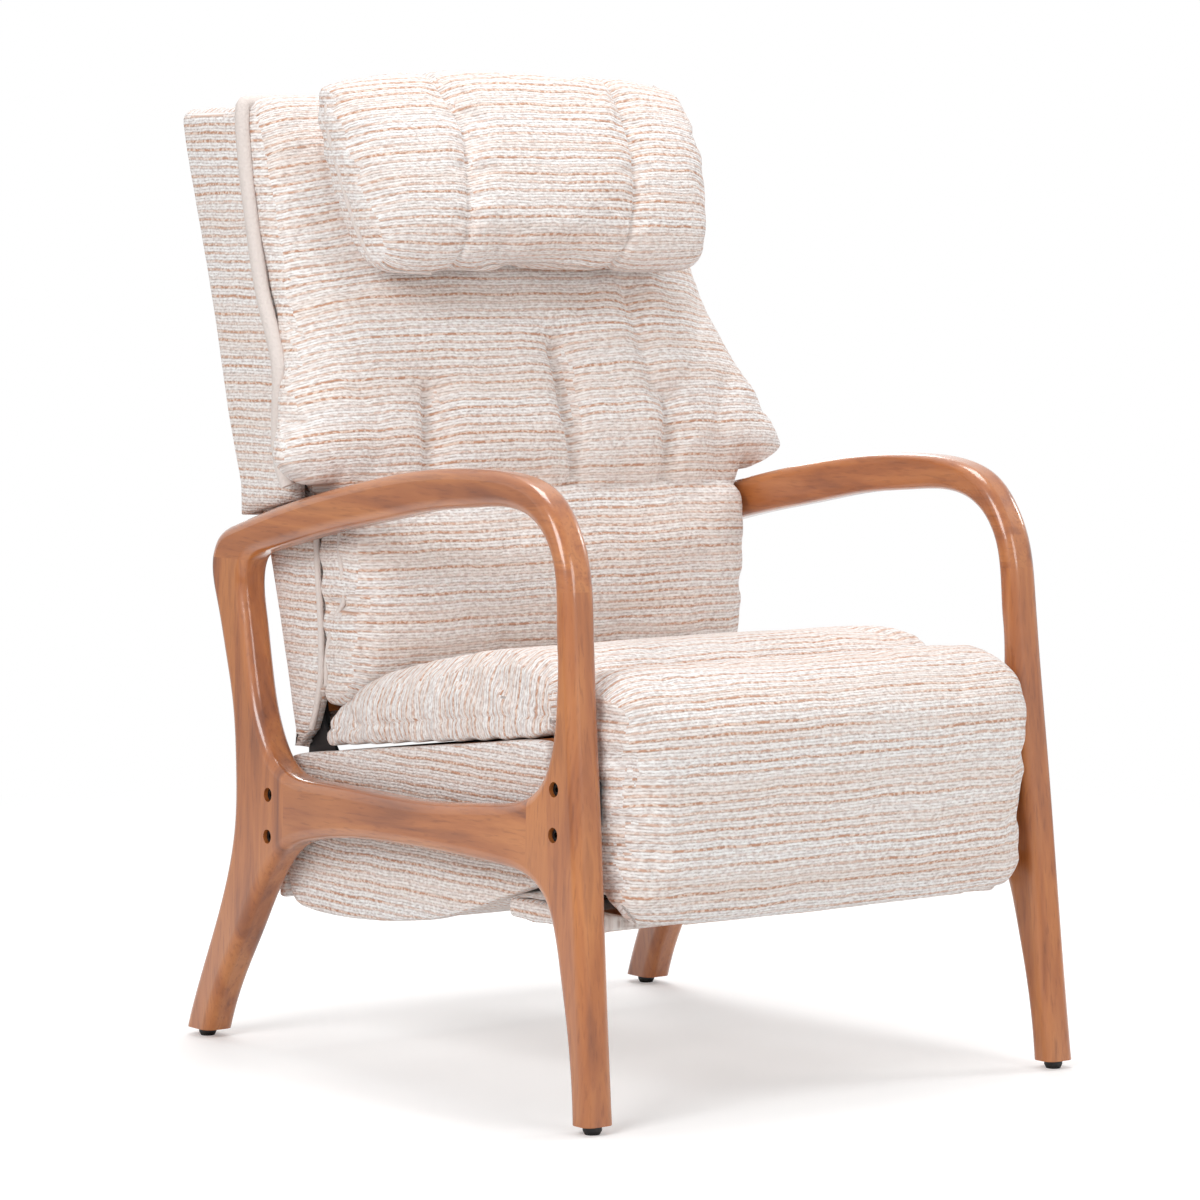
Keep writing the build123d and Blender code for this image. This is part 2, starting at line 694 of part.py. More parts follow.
def foot_flap_board():
    """Board with two hinge eyes beside the steel arms."""
    front = flap_hinge_y + flap_eye_radius + layer_gap
    z_range = (flap_board_z() - flap_board_thickness, flap_board_z())
    board = block((-board_half_width, board_half_width), (front, flap_rear_y - flap_lip), z_range)
    start = -flap_arm_x + flap_arm_width + layer_gap
    rear = front + 2 * flap_eye_radius
    hinge_wall = flap_eye_radius - flap_pin_radius
    leaf = block((start, start + flap_arm_width), (flap_hinge_y, rear), (flap_board_z(), flap_board_z() + hinge_wall))
    eye = disc(flap_eye_radius, start, flap_arm_width, flap_hinge_y, flap_hinge_z)
    hinge = leaf + eye - disc(flap_pin_radius + journal_gap, start, flap_arm_width, flap_hinge_y, flap_hinge_z)
    return board + hinge + mirrored(hinge)


def foot_flap_pad():
    """Padding under the board that wraps round its ends and its free edge."""
    top = flap_board_z() - flap_board_thickness - fit_gap
    front = flap_hinge_y - flap_eye_radius
    pad = block((-pad_half_width, pad_half_width), (front, flap_rear_y), (top - flap_pad_thickness, flap_board_z()))
    pad = fillet(pad.edges(), flap_pad_thickness / 3)
    pocket_half_width = board_half_width + fit_gap
    return pad - block((-pocket_half_width, pocket_half_width), (front, flap_rear_y - flap_lip + fit_gap),
                       (top, flap_board_z()))


# Back
def rear_line(z):
    return back_rear_y + (z - back_rear_z) * back_lean_share


def shell_front():
    return place_on_frame(shell_front_shares)


def shell_solid(half_width, move_y):
    """Full block of the back behind its front boundary, moved along Y."""
    front = [(y + move_y, z) for y, z in shell_front()]
    rear = [(rear_line(shell_top_z), shell_top_z), (rear_line(front[0][1]), front[0][1])]
    edges = [Spline(*front), Line(front[-1], rear[0]), Line(rear[0], rear[1]), Line(rear[1], front[0])]
    return slab(edges, -half_width, 2 * half_width)


def above_step(half_width, rise):
    """Space above the sloping line at which the back widens over the arms."""
    far = 3 * foot_reach
    step = [(y, shell_step_z + rise - shell_step_slope_share * (y - shell_step_y)) for y in (-far, far)]
    points = step + [(far, 2 * arm_height), (-far, 2 * arm_height)]
    return slab(Polyline(*points, close=True), -half_width, 2 * half_width)


def back_cavity(side_gap, rear_gap, low_z):
    """Space inside the walls of the back, from its open front to a plane beside the rear wall."""
    side = shell_wall + side_gap
    top_z = shell_top_z - side
    front = [(y - cut_extra, z) for y, z in shell_front()]
    points = [*front, (front[-1][0], top_z), (rear_line(top_z) - rear_gap, top_z),
              (rear_line(front[0][1]) - rear_gap, front[0][1])]
    outline = Polyline(*points, close=True)
    wide = slab(outline, -(shell_half_width - side), 2 * (shell_half_width - side))
    neck = slab(outline, -(neck_half_width - side), 2 * (neck_half_width - side))
    space = neck + (wide & above_step(shell_half_width, side))
    return space & block((-shell_half_width, shell_half_width), (0, 2 * foot_reach), (low_z, 2 * arm_height))


def back_shell():
    """Upholstered shell: rear wall, side walls and top, wider above the arms."""
    wide = shell_solid(shell_half_width, 0) & above_step(shell_half_width, 0)
    outer = shell_solid(neck_half_width, 0) + wide
    skirt_x = neck_half_width - shell_wall
    skirt = block((-skirt_x, skirt_x), (0, 2 * foot_reach), (0, shell_skirt_z))
    notch = block((-skirt_x, -skirt_x + shell_notch_width), (0, 2 * foot_reach), (0, stile_bottom_z))
    return outer - back_cavity(0, shell_wall, 0) - skirt - notch - mirrored(notch)


def stile_y(z):
    rear = rear_line(z) - shell_wall - fit_gap
    return rear - stile_depth, rear


def back_stile():
    low, high = stile_y(stile_bottom_z), stile_y(stile_top_z)
    points = [(low[0], stile_bottom_z), (low[1], stile_bottom_z), (high[1], stile_top_z), (high[0], stile_top_z)]
    return slab(Polyline(*points, close=True), -stile_outer_x, stile_width)


def back_rails():
    rails = []
    inner = stile_outer_x - stile_width
    span = stile_top_z - rail_height - stile_bottom_z
    for share in rail_shares:
        z_low = stile_bottom_z + span * share
        low, high = stile_y(z_low), stile_y(z_low + rail_height)
        points = [(low[0], z_low), (low[1], z_low), (high[1], z_low + rail_height), (high[0], z_low + rail_height)]
        rails.append(slab(Polyline(*points, close=True), -inner, 2 * inner))
    return rails


def back_straps():
    """Elastic straps across the front of the two stiles."""
    straps = []
    first = stile_bottom_z + 2 * rail_height
    pitch = (stile_top_z - 2 * rail_height - first) / (strap_count - 1)
    for index in range(strap_count):
        z_low = first + pitch * index - strap_height / 2
        z_high = z_low + strap_height
        front = [stile_y(z)[0] for z in (z_low, z_high)]
        points = [(front[0], z_low), (front[1], z_high), (front[1] - webbing_thickness, z_high),
                  (front[0] - webbing_thickness, z_low)]
        straps.append(slab(Polyline(*points, close=True), -stile_outer_x, 2 * stile_outer_x))
    return straps


def back_bracket():
    """Left hinge plate, fixed to the outer face of the stile."""
    start = -(stile_outer_x + bracket_thickness)
    top = stile_y(bracket_top_z)
    low_z = hinge_z + 2 * hinge_boss_radius
    points = [(stile_y(low_z)[0], low_z), (top[0], bracket_top_z), (top[1], bracket_top_z), (stile_y(low_z)[1], low_z)]
    sketch = make_face(Polyline(*points, close=True)) + Pos(hinge_y, hinge_z) * Circle(hinge_boss_radius)
    middle = (stile_y(low_z)[0] + stile_y(low_z)[1]) / 2
    sketch += strip_between((hinge_y, hinge_z), (middle, low_z), hinge_boss_radius)
    bracket = plate_solid(sketch, start, bracket_thickness)
    return bracket - disc(hinge_pin_radius, start, bracket_thickness, hinge_y, hinge_z)


def hinge_pin():
    start = -plate_outer_x
    inner = -stile_outer_x
    head = disc(hinge_pin_radius + pin_head_length, inner, pin_head_length, hinge_y, hinge_z)
    return disc(hinge_pin_radius, start, inner - start, hinge_y, hinge_z) + head


def cushion_section(section):
    """Level section whose sides flare out towards the front."""
    z_share, width_share, rear_share, front_share, flare = section
    width = neck_half_width * width_share
    rear, front = foot_reach * rear_share - fit_gap, foot_reach * front_share
    side = [(width * (x + flare * part), rear + (front - rear) * y) for x, y, part in cushion_front_shares]
    ring = [(-x, y) for x, y in side] + [point for point in reversed(side[:-1])]
    face = make_face([Spline(*ring), Line(ring[-1], ring[0])])
    return Plane.XY.offset(arm_height * z_share) * face


def back_cushion():
    """Soft front of the back, with side wings above the arms and foam inside the shell."""
    neck = loft([cushion_section(section) for section in lower_cushion_shares])
    wings = loft([cushion_section(section) for section in upper_cushion_shares])
    front = neck + (wings & above_step(foot_spacing_x, 0))
    front -= shell_solid(foot_spacing_x, -fit_gap)
    core_gap = shell_wall + stile_depth + webbing_thickness + 2 * fit_gap
    return front + back_cavity(fit_gap, core_gap, stile_bottom_z)


def headrest_pillow(cushion):
    sections = []
    both = [(-place, *rest) for place, *rest in pillow_sections_share] + [
        (place, *rest) for place, *rest in reversed(pillow_sections_share[:-1])]
    full = pillow_top_z - pillow_bottom_z
    for place, low_share, high_share, thick_share in both:
        low = pillow_bottom_z + full * low_share
        height = full * (high_share - low_share)
        thickness = pillow_thickness * thick_share
        ring = []
        for z_share, y_share in pillow_profile_shares:
            z = low + height * z_share
            rear = pillow_rear_y + pillow_lean_share * (z - pillow_bottom_z)
            ring.append((rear - (pillow_thickness - thickness) / 2 - thickness * y_share, z))
        sections.append(Plane.YZ.offset(place * pillow_half_width) * make_face([Spline(*ring, periodic=True)]))
    return loft(sections) - Pos(0, -fit_gap, 0) * cushion


# Hand control and electrical parts
def button_places():
    last = len(button_names) - 1
    return [control_y + button_spacing * (index - last / 2) for index in range(len(button_names))]


def control_panel():
    outline = (control_y - control_length / 2, control_y + control_length / 2)
    heights = (control_z - control_height / 2, control_z + control_height / 2)
    flange = plate_solid(rounded_plate(outline, heights, control_corner), panel_outer_x, control_flange)
    housing = control_pocket(0)
    panel = flange + housing
    for y in button_places():
        panel -= disc(button_radius + button_gap, panel_outer_x - control_depth / 2, control_depth, y, control_z)
    return panel


def control_pocket(slack):
    inset = control_corner / 2 - slack
    outline = (control_y - control_length / 2 + inset, control_y + control_length / 2 - inset)
    heights = (control_z - control_height / 2 + inset, control_z + control_height / 2 - inset)
    depth = control_depth + slack
    return plate_solid(rounded_plate(outline, heights, control_corner / 2), panel_outer_x - depth, depth)


def button(y):
    start = panel_outer_x - control_depth / 2 + button_travel + button_gap
    length = panel_outer_x + control_flange + button_stand - start
    return disc(button_radius, start, length, y, control_z)


def control_box():
    x_size, y_size, z_size = control_box_size
    top = cross_tube_z - cross_tube_height / 2
    box = block((control_box_x, control_box_x + x_size), (rear_tube_y - y_size / 2, rear_tube_y + y_size / 2),
                (top - z_size, top))
    return fillet(box.edges().filter_by(Axis.Z), panel_round)


def power_inlet():
    rear = panel_rear_y + apron_thickness
    plate = block((-inlet_width / 2, inlet_width / 2), (rear, rear + inlet_plate),
                  (inlet_z - inlet_height / 2, inlet_z + inlet_height / 2))
    barrel = bar_y(inlet_radius, rear - inlet_length, inlet_length, 0, inlet_z)
    bore = bar_y(inlet_bore, rear - inlet_length / 2, inlet_length, 0, inlet_z)
    return plate + barrel - bore


def fixed_parts():
    """Pieces of the frame, the base, the seat and the electrics."""
    parts = {}
    frame = side_frame()
    ground = block((-foot_spacing_x, foot_spacing_x), (-2 * foot_reach, 2 * foot_reach), (-arm_height, glide_height))
    for name, region in frame_regions().items():
        add_pair(parts, name, leaned(frame & region) - ground)
    bolts = [leaned(bolt) for bolt in frame_bolts()]
    parts["frame_bolts"] = bolts + [mirrored(bolt) for bolt in bolts]
    feet = [(x * foot_spacing_x / 2, y * foot_reach) for x in (-1, 1) for y in (-1, 1)]
    parts["foot_glides"] = [Pos(x, y, 0) * foot_glide() for x, y in feet]
    add_pair(parts, "base_rail", leaned(base_rail()))
    parts["front_cross_tube"] = cross_tube(front_tube_y)
    parts["rear_cross_tube"] = cross_tube(rear_tube_y)
    add_pair(parts, "mechanism_plate", mechanism_plate())
    add_pair(parts, "seat_side", seat_side())
    parts["right_seat_side"] -= control_pocket(fit_gap)
    parts["under_cover"] = under_cover()
    parts["rear_apron"] = rear_apron()
    parts["seat_deck"] = seat_deck()
    parts["seat_webbing"] = seat_webbing()
    parts["seat_cushion"] = seat_cushion()
    leg_tube, leg_box = (leg_tube_front_y, leg_tube_rear_y), (leg_tube_rear_y, leg_tube_rear_y + gearbox_length)
    parts["leg_actuator"] = actuator(leg_actuator_x, leg_actuator_z, leg_tube, leg_box, -1, front_tube_y)
    parts["leg_motor"] = actuator_motor(leg_actuator_x, sum(leg_box) / 2, -1)
    back_tube, back_box = (back_tube_front_y, back_tube_rear_y), (back_tube_front_y - gearbox_length, back_tube_front_y)
    parts["back_actuator"] = actuator(back_actuator_x, back_actuator_z, back_tube, back_box, 1, rear_tube_y)
    parts["back_motor"] = actuator_motor(back_actuator_x, sum(back_box) / 2, 1)
    parts["control_box"] = control_box()
    parts["power_inlet"] = power_inlet()
    parts["control_panel"] = control_panel()
    return parts


def moving_parts():
    """Pieces of the buttons, the rods, the leg rest with its flap, and the back."""
    parts = {}
    for name, y in zip(button_names, button_places()):
        parts[name] = button(y)
    leg_inner_y, back_inner_y = [(a + b) / 2 for a, b in (
        (leg_tube_front_y, leg_tube_rear_y), (back_tube_front_y, back_tube_rear_y))]
    parts["leg_actuator_rod"] = actuator_rod(leg_actuator_x, leg_actuator_z, leg_pin_y(), leg_inner_y)
    parts["back_actuator_rod"] = actuator_rod(back_actuator_x, back_actuator_z, hinge_y, back_inner_y)
    parts["torque_tube"] = torque_tube()
    add_pair(parts, "lift_link", lift_link())
    parts["leg_crank"] = leg_crank()
    parts["leg_rest_board"] = leg_rest_board()
    parts["leg_rest_pad"] = leg_rest_pad()
    add_pair(parts, "pad_bracket", pad_bracket())
    for name, piece in (("pad_pins", pad_pin()), ("flap_arms", flap_arm()), ("flap_pins", flap_pin()),
                        ("hinge_pins", hinge_pin())):
        parts[name] = [piece, mirrored(piece)]
    parts["foot_flap_board"] = foot_flap_board()
    parts["foot_flap_pad"] = foot_flap_pad()
    parts["back_shell"] = back_shell()
    add_pair(parts, "back_stile", back_stile())
    add_pair(parts, "back_bracket", back_bracket())
    parts["back_rails"] = back_rails()
    parts["back_straps"] = back_straps()
    parts["back_crank"] = back_crank()
    parts["back_cushion"] = back_cushion()
    parts["headrest_pillow"] = headrest_pillow(parts["back_cushion"])
    return parts


def add_pair(parts, name, shape):
    parts["left_" + name] = shape
    parts["right_" + name] = mirrored(shape)


def solids_of(shape):
    pieces = shape if isinstance(shape, list) else [shape]
    return [solid for piece in pieces for solid in piece.solids()]


def export(parts):
    """Centres the object above the origin and writes one file per piece."""
    os.makedirs("parts", exist_ok=True)
    everything = Compound([solid for shape in parts.values() for solid in solids_of(shape)])
    shift = Pos(0, -everything.bounding_box().center().Y, 0)
    for name, shape in parts.items():
        export_step(shift * Compound(solids_of(shape)), "parts/" + name + ".step")


if __name__ == "__main__":
    export({**fixed_parts(), **moving_parts()})
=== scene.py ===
import bpy
import bmesh
import json
from math import cos, exp, radians, sin
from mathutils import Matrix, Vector, noise
from mathutils.bvhtree import BVHTree
from mathutils.kdtree import KDTree


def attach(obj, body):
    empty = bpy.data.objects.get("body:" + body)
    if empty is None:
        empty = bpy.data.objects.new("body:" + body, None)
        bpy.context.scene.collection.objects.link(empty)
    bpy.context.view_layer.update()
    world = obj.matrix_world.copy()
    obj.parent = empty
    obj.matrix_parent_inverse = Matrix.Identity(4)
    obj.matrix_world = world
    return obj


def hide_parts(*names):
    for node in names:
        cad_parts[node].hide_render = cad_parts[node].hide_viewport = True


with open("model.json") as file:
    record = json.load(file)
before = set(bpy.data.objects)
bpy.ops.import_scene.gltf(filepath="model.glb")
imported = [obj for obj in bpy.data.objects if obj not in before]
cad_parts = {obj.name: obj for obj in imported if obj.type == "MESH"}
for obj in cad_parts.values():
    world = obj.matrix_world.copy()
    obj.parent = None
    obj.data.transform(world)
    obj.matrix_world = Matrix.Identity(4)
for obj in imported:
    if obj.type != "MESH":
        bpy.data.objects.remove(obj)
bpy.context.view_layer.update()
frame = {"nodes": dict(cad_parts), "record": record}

# Places are written in millimetres, measured along Y from the middle of the four feet
MM = 0.001
box_middle_y = 31.606
base_body, back_body, pad_body, flap_body = "base", "back", "pad", "flap"


def at(x, y, z):
    return Vector((x * MM, (y - box_middle_y) * MM, z * MM))


def in_mm(co):
    """The opposite of at: x, y and z of a point in millimetres."""
    return co.x / MM, co.y / MM + box_middle_y, co.z / MM


def clamp(value):
    return max(0, min(1, value))


def add_object(name, data):
    made = bpy.data.objects.new(name, data)
    bpy.context.collection.objects.link(made)
    return made


def final_mesh(holder):
    """The mesh of an object as its modifiers or its curve settings leave it."""
    return bpy.data.meshes.new_from_object(holder.evaluated_get(bpy.context.evaluated_depsgraph_get()))


# Camera at the photograph's angle
azimuth = radians(-36.78)
elevation = radians(4.43)
aim_shift, aim_height = -23.25, 481.8
camera_reach = 4.848
sight = Vector((sin(azimuth) * cos(elevation), -cos(azimuth) * cos(elevation), sin(elevation)))
aim = Vector((cos(azimuth), sin(azimuth), 0)) * (aim_shift * MM) + at(0, 0, aim_height)
camera = add_object("camera", bpy.data.cameras.new("camera"))
camera.data.lens = 137.5
camera.data.sensor_width = 36
camera.location = aim + sight * camera_reach
camera.rotation_euler = sight.to_track_quat("Z", "Y").to_euler()
bpy.context.scene.camera = camera
bpy.context.scene.view_settings.view_transform = "Standard"


# Materials
black, white = (0, 0, 0, 1), (1, 1, 1, 1)


def colour(red, green, blue):
    """Turns 0 to 255 screen values into the shader's linear colour."""
    return [((value / 255 + 0.055) / 1.055) ** 2.4 for value in (red, green, blue)] + [1]


def node(tree, kind, inputs=None, **settings):
    made = tree.nodes.new("ShaderNode" + kind)
    for name, value in settings.items():
        setattr(made, name, value)
    for socket, value in (inputs or {}).items():
        if isinstance(value, bpy.types.NodeSocket):
            tree.links.new(value, made.inputs[socket])
        else:
            made.inputs[socket].default_value = value
    return made


def calc(tree, operation, *values):
    return node(tree, "Math", dict(enumerate(values)), operation=operation).outputs[0]


def ramp(tree, factor, stops):
    """Colour ramp; a stop is its place from 0 to 1 and its colour."""
    made = node(tree, "ValToRGB", {0: factor})
    points = made.color_ramp.elements
    while len(points) < len(stops):
        points.new(0.5)
    for point, (place, value) in zip(points, stops):
        point.position = place
        point.color = value
    return made.outputs[0]


def mix(tree, factor, first, second, blend="MIX"):
    return node(tree, "MixRGB", {0: factor, 1: first, 2: second}, blend_type=blend).outputs[0]


def new_material(name, roughness, **sockets):
    """New material; each socket is named with _ for a space."""
    material = bpy.data.materials.new(name)
    material.use_nodes = True
    shader = material.node_tree.nodes["Principled BSDF"]
    shader.inputs["Roughness"].default_value = roughness
    for socket, value in sockets.items():
        shader.inputs[socket.replace("_", " ")].default_value = value
    return material, material.node_tree, shader


def bump(tree, shader, height, distance, strength=1.0):
    made = node(tree, "Bump", {"Height": height, "Distance": distance, "Strength": strength})
    tree.links.new(made.outputs[0], shader.inputs["Normal"])


def scaled_place(tree, scale=(1, 1, 1), offset=(0, 0, 0)):
    """Object coordinates, moved and scaled."""
    place = node(tree, "TexCoord").outputs["Object"]
    return node(tree, "Mapping", {0: place, 1: offset, 3: scale}).outputs[0]


def noise_of(tree, vector, scale, detail=2.0, rough=0.5, warp=0.0):
    inputs = {"Vector": vector, "Scale": scale, "Detail": detail, "Roughness": rough, "Distortion": warp}
    return node(tree, "TexNoise", inputs).outputs[0]


def tweed(name):
    """Nubby cream tweed in metres: three thick yarns to a row, the middle one peach with tan dashes."""
    row_pitch, yarns_in_row = 0.0092, 3
    row_sway, nubs_per_metre, bump_depth = 0.008, 380, 0.0018
    material, tree, shader = new_material(name, 0.95, Sheen_Weight=0.2, Sheen_Roughness=0.5,
                                          Specular_IOR_Level=0.12)
    place = node(tree, "UVMap", uv_map="weave").outputs[0]
    split = node(tree, "SeparateXYZ", {0: place})
    along, across = split.outputs[0], split.outputs[1]
    across = calc(tree, "MULTIPLY_ADD", noise_of(tree, place, 14, 3), row_sway, across)
    rows = calc(tree, "MULTIPLY", across, 1 / row_pitch)

    def yarn_noise(length, thickness, detail=2):
        """Noise drawn out along the rows: length in metres, thickness in rows."""
        spot = node(tree, "CombineXYZ", {0: calc(tree, "MULTIPLY", along, 1 / length),
                                         1: calc(tree, "MULTIPLY", rows, 1 / thickness)})
        return noise_of(tree, spot.outputs[0], 1, detail)

    def tinted(cloth, share, tint, *masks):
        """Lays a colour over the cloth, by a share of the product of the masks."""
        mask = masks[0]
        for other in masks[1:]:
            mask = calc(tree, "MULTIPLY", mask, other)
        return mix(tree, calc(tree, "MULTIPLY", mask, share), cloth, tint)

    yarns = calc(tree, "FRACT", calc(tree, "MULTIPLY", rows, yarns_in_row))
    gap = ramp(tree, yarns, [(0.06, white), (0.24, black), (0.76, black), (0.94, white)])
    stripe = ramp(tree, calc(tree, "FRACT", rows),
                  [(0.28, black), (0.42, white), (0.58, white), (0.72, black)])
    strength = ramp(tree, yarn_noise(0.22, 1.15, 1), [(0.36, (0.22, 0.22, 0.22, 1)), (0.60, white)])
    stripe = calc(tree, "MULTIPLY", stripe, strength)
    dashes = ramp(tree, yarn_noise(0.0050, 0.42, 1), [(0.44, black), (0.56, white)])
    broken = ramp(tree, yarn_noise(0.0042, 0.30, 1), [(0.46, black), (0.62, white)])
    bands = ramp(tree, yarn_noise(0.7, 3.4, 1), [(0.40, black), (0.62, white)])
    tan = mix(tree, yarn_noise(0.02, 1), colour(168, 112, 84), colour(206, 146, 108))
    cloth = ramp(tree, yarn_noise(0.0062, 0.36, 3),
                 [(0.34, colour(220, 211, 208)), (0.48, colour(242, 237, 235)), (0.60, colour(252, 251, 250))])
    # Painted shade: a broken greyish-brown darkening laid in the gaps between the yarns
    cloth = tinted(cloth, 0.40, colour(176, 150, 136), gap, broken)
    cloth = tinted(cloth, 0.62, colour(234, 196, 170), stripe)
    cloth = tinted(cloth, 0.24, colour(228, 202, 184), bands)
    cloth = tinted(cloth, 0.80, tan, stripe, dashes)
    # Thick uneven yarn, with painted shade that darkens the cloth between the yarns and on the low spots of
    # the yarn
    nub = noise_of(tree, place, nubs_per_metre, 2)
    slub = yarn_noise(0.0050, 0.34, 1)
    yarn = calc(tree, "MULTIPLY_ADD", nub, 0.7, calc(tree, "MULTIPLY", slub, 1.1))
    height = calc(tree, "MULTIPLY_ADD", gap, -0.30, yarn)
    shade = ramp(tree, height,
                 [(0.45, (0.62, 0.57, 0.55, 1)), (0.78, (0.96, 0.95, 0.94, 1)), (1.0, white)])
    tree.links.new(mix(tree, 0.6, cloth, shade, "MULTIPLY"), shader.inputs["Base Color"])
    bump(tree, shader, height, bump_depth, 0.8)
    return material


def hardwood(name, grain_scale, offset):
    """Lacquered orange-brown hardwood; the grain runs along the axis with the smallest scale."""
    pore_density = 9
    material, tree, shader = new_material(name, 0.34, Coat_Weight=1.0, Coat_Roughness=0.12)
    figure = noise_of(tree, scaled_place(tree, grain_scale, offset), 1.0, 4, 0.55, 0.5)
    tone = ramp(tree, figure, [(0.25, colour(128, 66, 28)), (0.46, colour(176, 102, 48)),
                               (0.62, colour(196, 122, 62)), (0.80, colour(146, 80, 36))])
    cloudy = noise_of(tree, scaled_place(tree, (7, 7, 7), offset), 1.0, 2)
    clouds = ramp(tree, cloudy, [(0.30, (0.66, 0.56, 0.48, 1)), (0.62, white)])
    tone = mix(tree, 0.5, tone, clouds, "MULTIPLY")
    pore_scale = [value * pore_density for value in grain_scale]
    fine = noise_of(tree, scaled_place(tree, pore_scale, offset), 1.0, 3)
    pores = ramp(tree, fine, [(0.30, (0.62, 0.54, 0.48, 1)), (0.45, white)])
    tone = mix(tree, 0.55, tone, pores, "MULTIPLY")
    tree.links.new(tone, shader.inputs["Base Color"])
    bump(tree, shader, fine, 0.00012, 0.3)
    return material


def plain(name, base, roughness, metallic, grain, depth):
    """Painted metal, plated metal, moulded plastic or plain cord with a fine surface grain."""
    material, tree, shader = new_material(name, roughness, Metallic=metallic)
    spread = noise_of(tree, scaled_place(tree), grain, 3)
    low = [value * 0.85 for value in base[:3]] + [1]
    tree.links.new(mix(tree, spread, low, base), shader.inputs["Base Color"])
    bump(tree, shader, spread, depth, 0.6)
    return material


def webbing_cloth(name):
    """Brown elastic webbing, ribbed along X."""
    material, tree, shader = new_material(name, 0.9)
    inputs = {"Vector": scaled_place(tree), "Scale": 260, "Distortion": 1.5, "Detail": 1}
    wave = node(tree, "TexWave", inputs, bands_direction="X").outputs[1]
    tone = ramp(tree, wave, [(0.2, colour(38, 30, 24)), (0.8, colour(92, 76, 60))])
    tree.links.new(tone, shader.inputs["Base Color"])
    bump(tree, shader, wave, 0.0005)
    return material


# The numbers of a plain material are its roughness, metal share, grain per metre and grain depth in metres
tweed_cloth = tweed("tweed")
piping_cloth = plain("piping_tweed", colour(228, 217, 211), 0.95, 0, 300, 0.0022)
black_paint = plain("black_powder_coat", colour(28, 28, 30), 0.55, 0.0, 1500, 0.0001)
zinc = plain("zinc_plate", colour(176, 178, 182), 0.36, 1.0, 300, 0.00005)
polished = plain("rod_chrome", colour(214, 215, 218), 0.12, 1.0, 200, 0.00001)
oxide = plain("black_oxide", colour(24, 22, 22), 0.42, 0.6, 900, 0.00005)
black_plastic = plain("black_plastic", colour(30, 30, 31), 0.5, 0.0, 1800, 0.0001)
grey_plastic = plain("grey_plastic", colour(118, 118, 120), 0.45, 0.0, 1800, 0.0001)
strap_cloth = webbing_cloth("webbing")
ply = hardwood("plywood", (40, 9, 40), (0.3, 0, 0))
ply.node_tree.nodes["Principled BSDF"].inputs["Coat Weight"].default_value = 0

# Grain of the side frames: along Y in arms and rails, along Z in legs, and another part of it in each piece
grain_y, grain_z = (38, 4, 38), (38, 38, 4)
wood_pieces = [("left_arm", "wood_left_arm", grain_y, (0, 0, 0)),
               ("right_arm", "wood_right_arm", grain_y, (0.7, 0.2, 0.1)),
               ("left_side_rail", "wood_left_rail", grain_y, (0.4, 0.5, 0.2)),
               ("right_side_rail", "wood_right_rail", grain_y, (0.9, 0.1, 0.6)),
               ("left_front_leg", "wood_left_front_leg", grain_z, (0.2, 0.8, 0.3)),
               ("right_front_leg", "wood_right_front_leg", grain_z, (0.5, 0.3, 0.9)),
               ("left_rear_leg", "wood_left_rear_leg", grain_z, (0.1, 0.6, 0.7)),
               ("right_rear_leg", "wood_right_rear_leg", grain_z, (0.8, 0.4, 0.5))]
wood_finish = {part: hardwood(name, grain, offset) for part, name, grain, offset in wood_pieces}
slot_finish = {"black_steel": black_paint, "zinc_steel": zinc, "rod_steel": polished, "black_bolt": oxide,
               "black_plastic": black_plastic, "button_plastic": grey_plastic, "webbing": strap_cloth,
               "inner_wood": ply, "upholstery": tweed_cloth, "dust_cloth": tweed_cloth}
slots = {row["node"]: row["material_slot"] for row in frame["record"]["subparts"]}
for name, thing in frame["nodes"].items():
    thing.data.materials.clear()
    thing.data.materials.append(wood_finish.get(name) or slot_finish[slots[name]])


# Soft pieces
def new_piece(name, shape, material=None):
    """Makes an object from a bmesh, with its faces pointing outwards."""
    bmesh.ops.remove_doubles(shape, verts=shape.verts, dist=0.00001)
    bmesh.ops.recalc_face_normals(shape, faces=shape.faces)
    mesh = bpy.data.meshes.new(name)
    shape.to_mesh(mesh)
    shape.free()
    mesh.materials.append(material or tweed_cloth)
    return add_object(name, mesh)


def loft(name, rings):
    """Closed piece through rings of a few points each."""
    shape = bmesh.new()
    edges = []
    for ring in rings:
        corners = [shape.verts.new(point) for point in ring]
        edges += [shape.edges.new(pair) for pair in zip(corners[-1:] + corners, corners)]
    bmesh.ops.bridge_loops(shape, edges=edges)
    bmesh.ops.holes_fill(shape, edges=[edge for edge in shape.edges if edge.is_boundary], sides=0)
    return new_piece(name, shape)


def settle(piece):
    """Applies the modifiers of a piece."""
    mesh = final_mesh(piece)
    piece.modifiers.clear()
    piece.data = mesh


def split_long(shape, longest):
    """Cuts every edge that is longer than a limit in metres, and its halves again."""
    for _ in range(5):
        long_edges = [edge for edge in shape.edges if edge.calc_length() > longest]
        if long_edges:
            bmesh.ops.subdivide_edges(shape, edges=long_edges, cuts=1, use_grid_fill=True)


def smooth(piece, levels):
    made = piece.modifiers.new("smooth", "SUBSURF")
    made.levels = made.render_levels = levels


def cushion(name, rings, face_size=6):
    """Smoothed loft, rebuilt as even faces of a size in millimetres, which inflate can fill."""
    piece = loft(name, rings)
    smooth(piece, 2)
    made = piece.modifiers.new("remesh", "REMESH")
    made.mode = "VOXEL"
    made.voxel_size = face_size * MM
    settle(piece)
    return piece


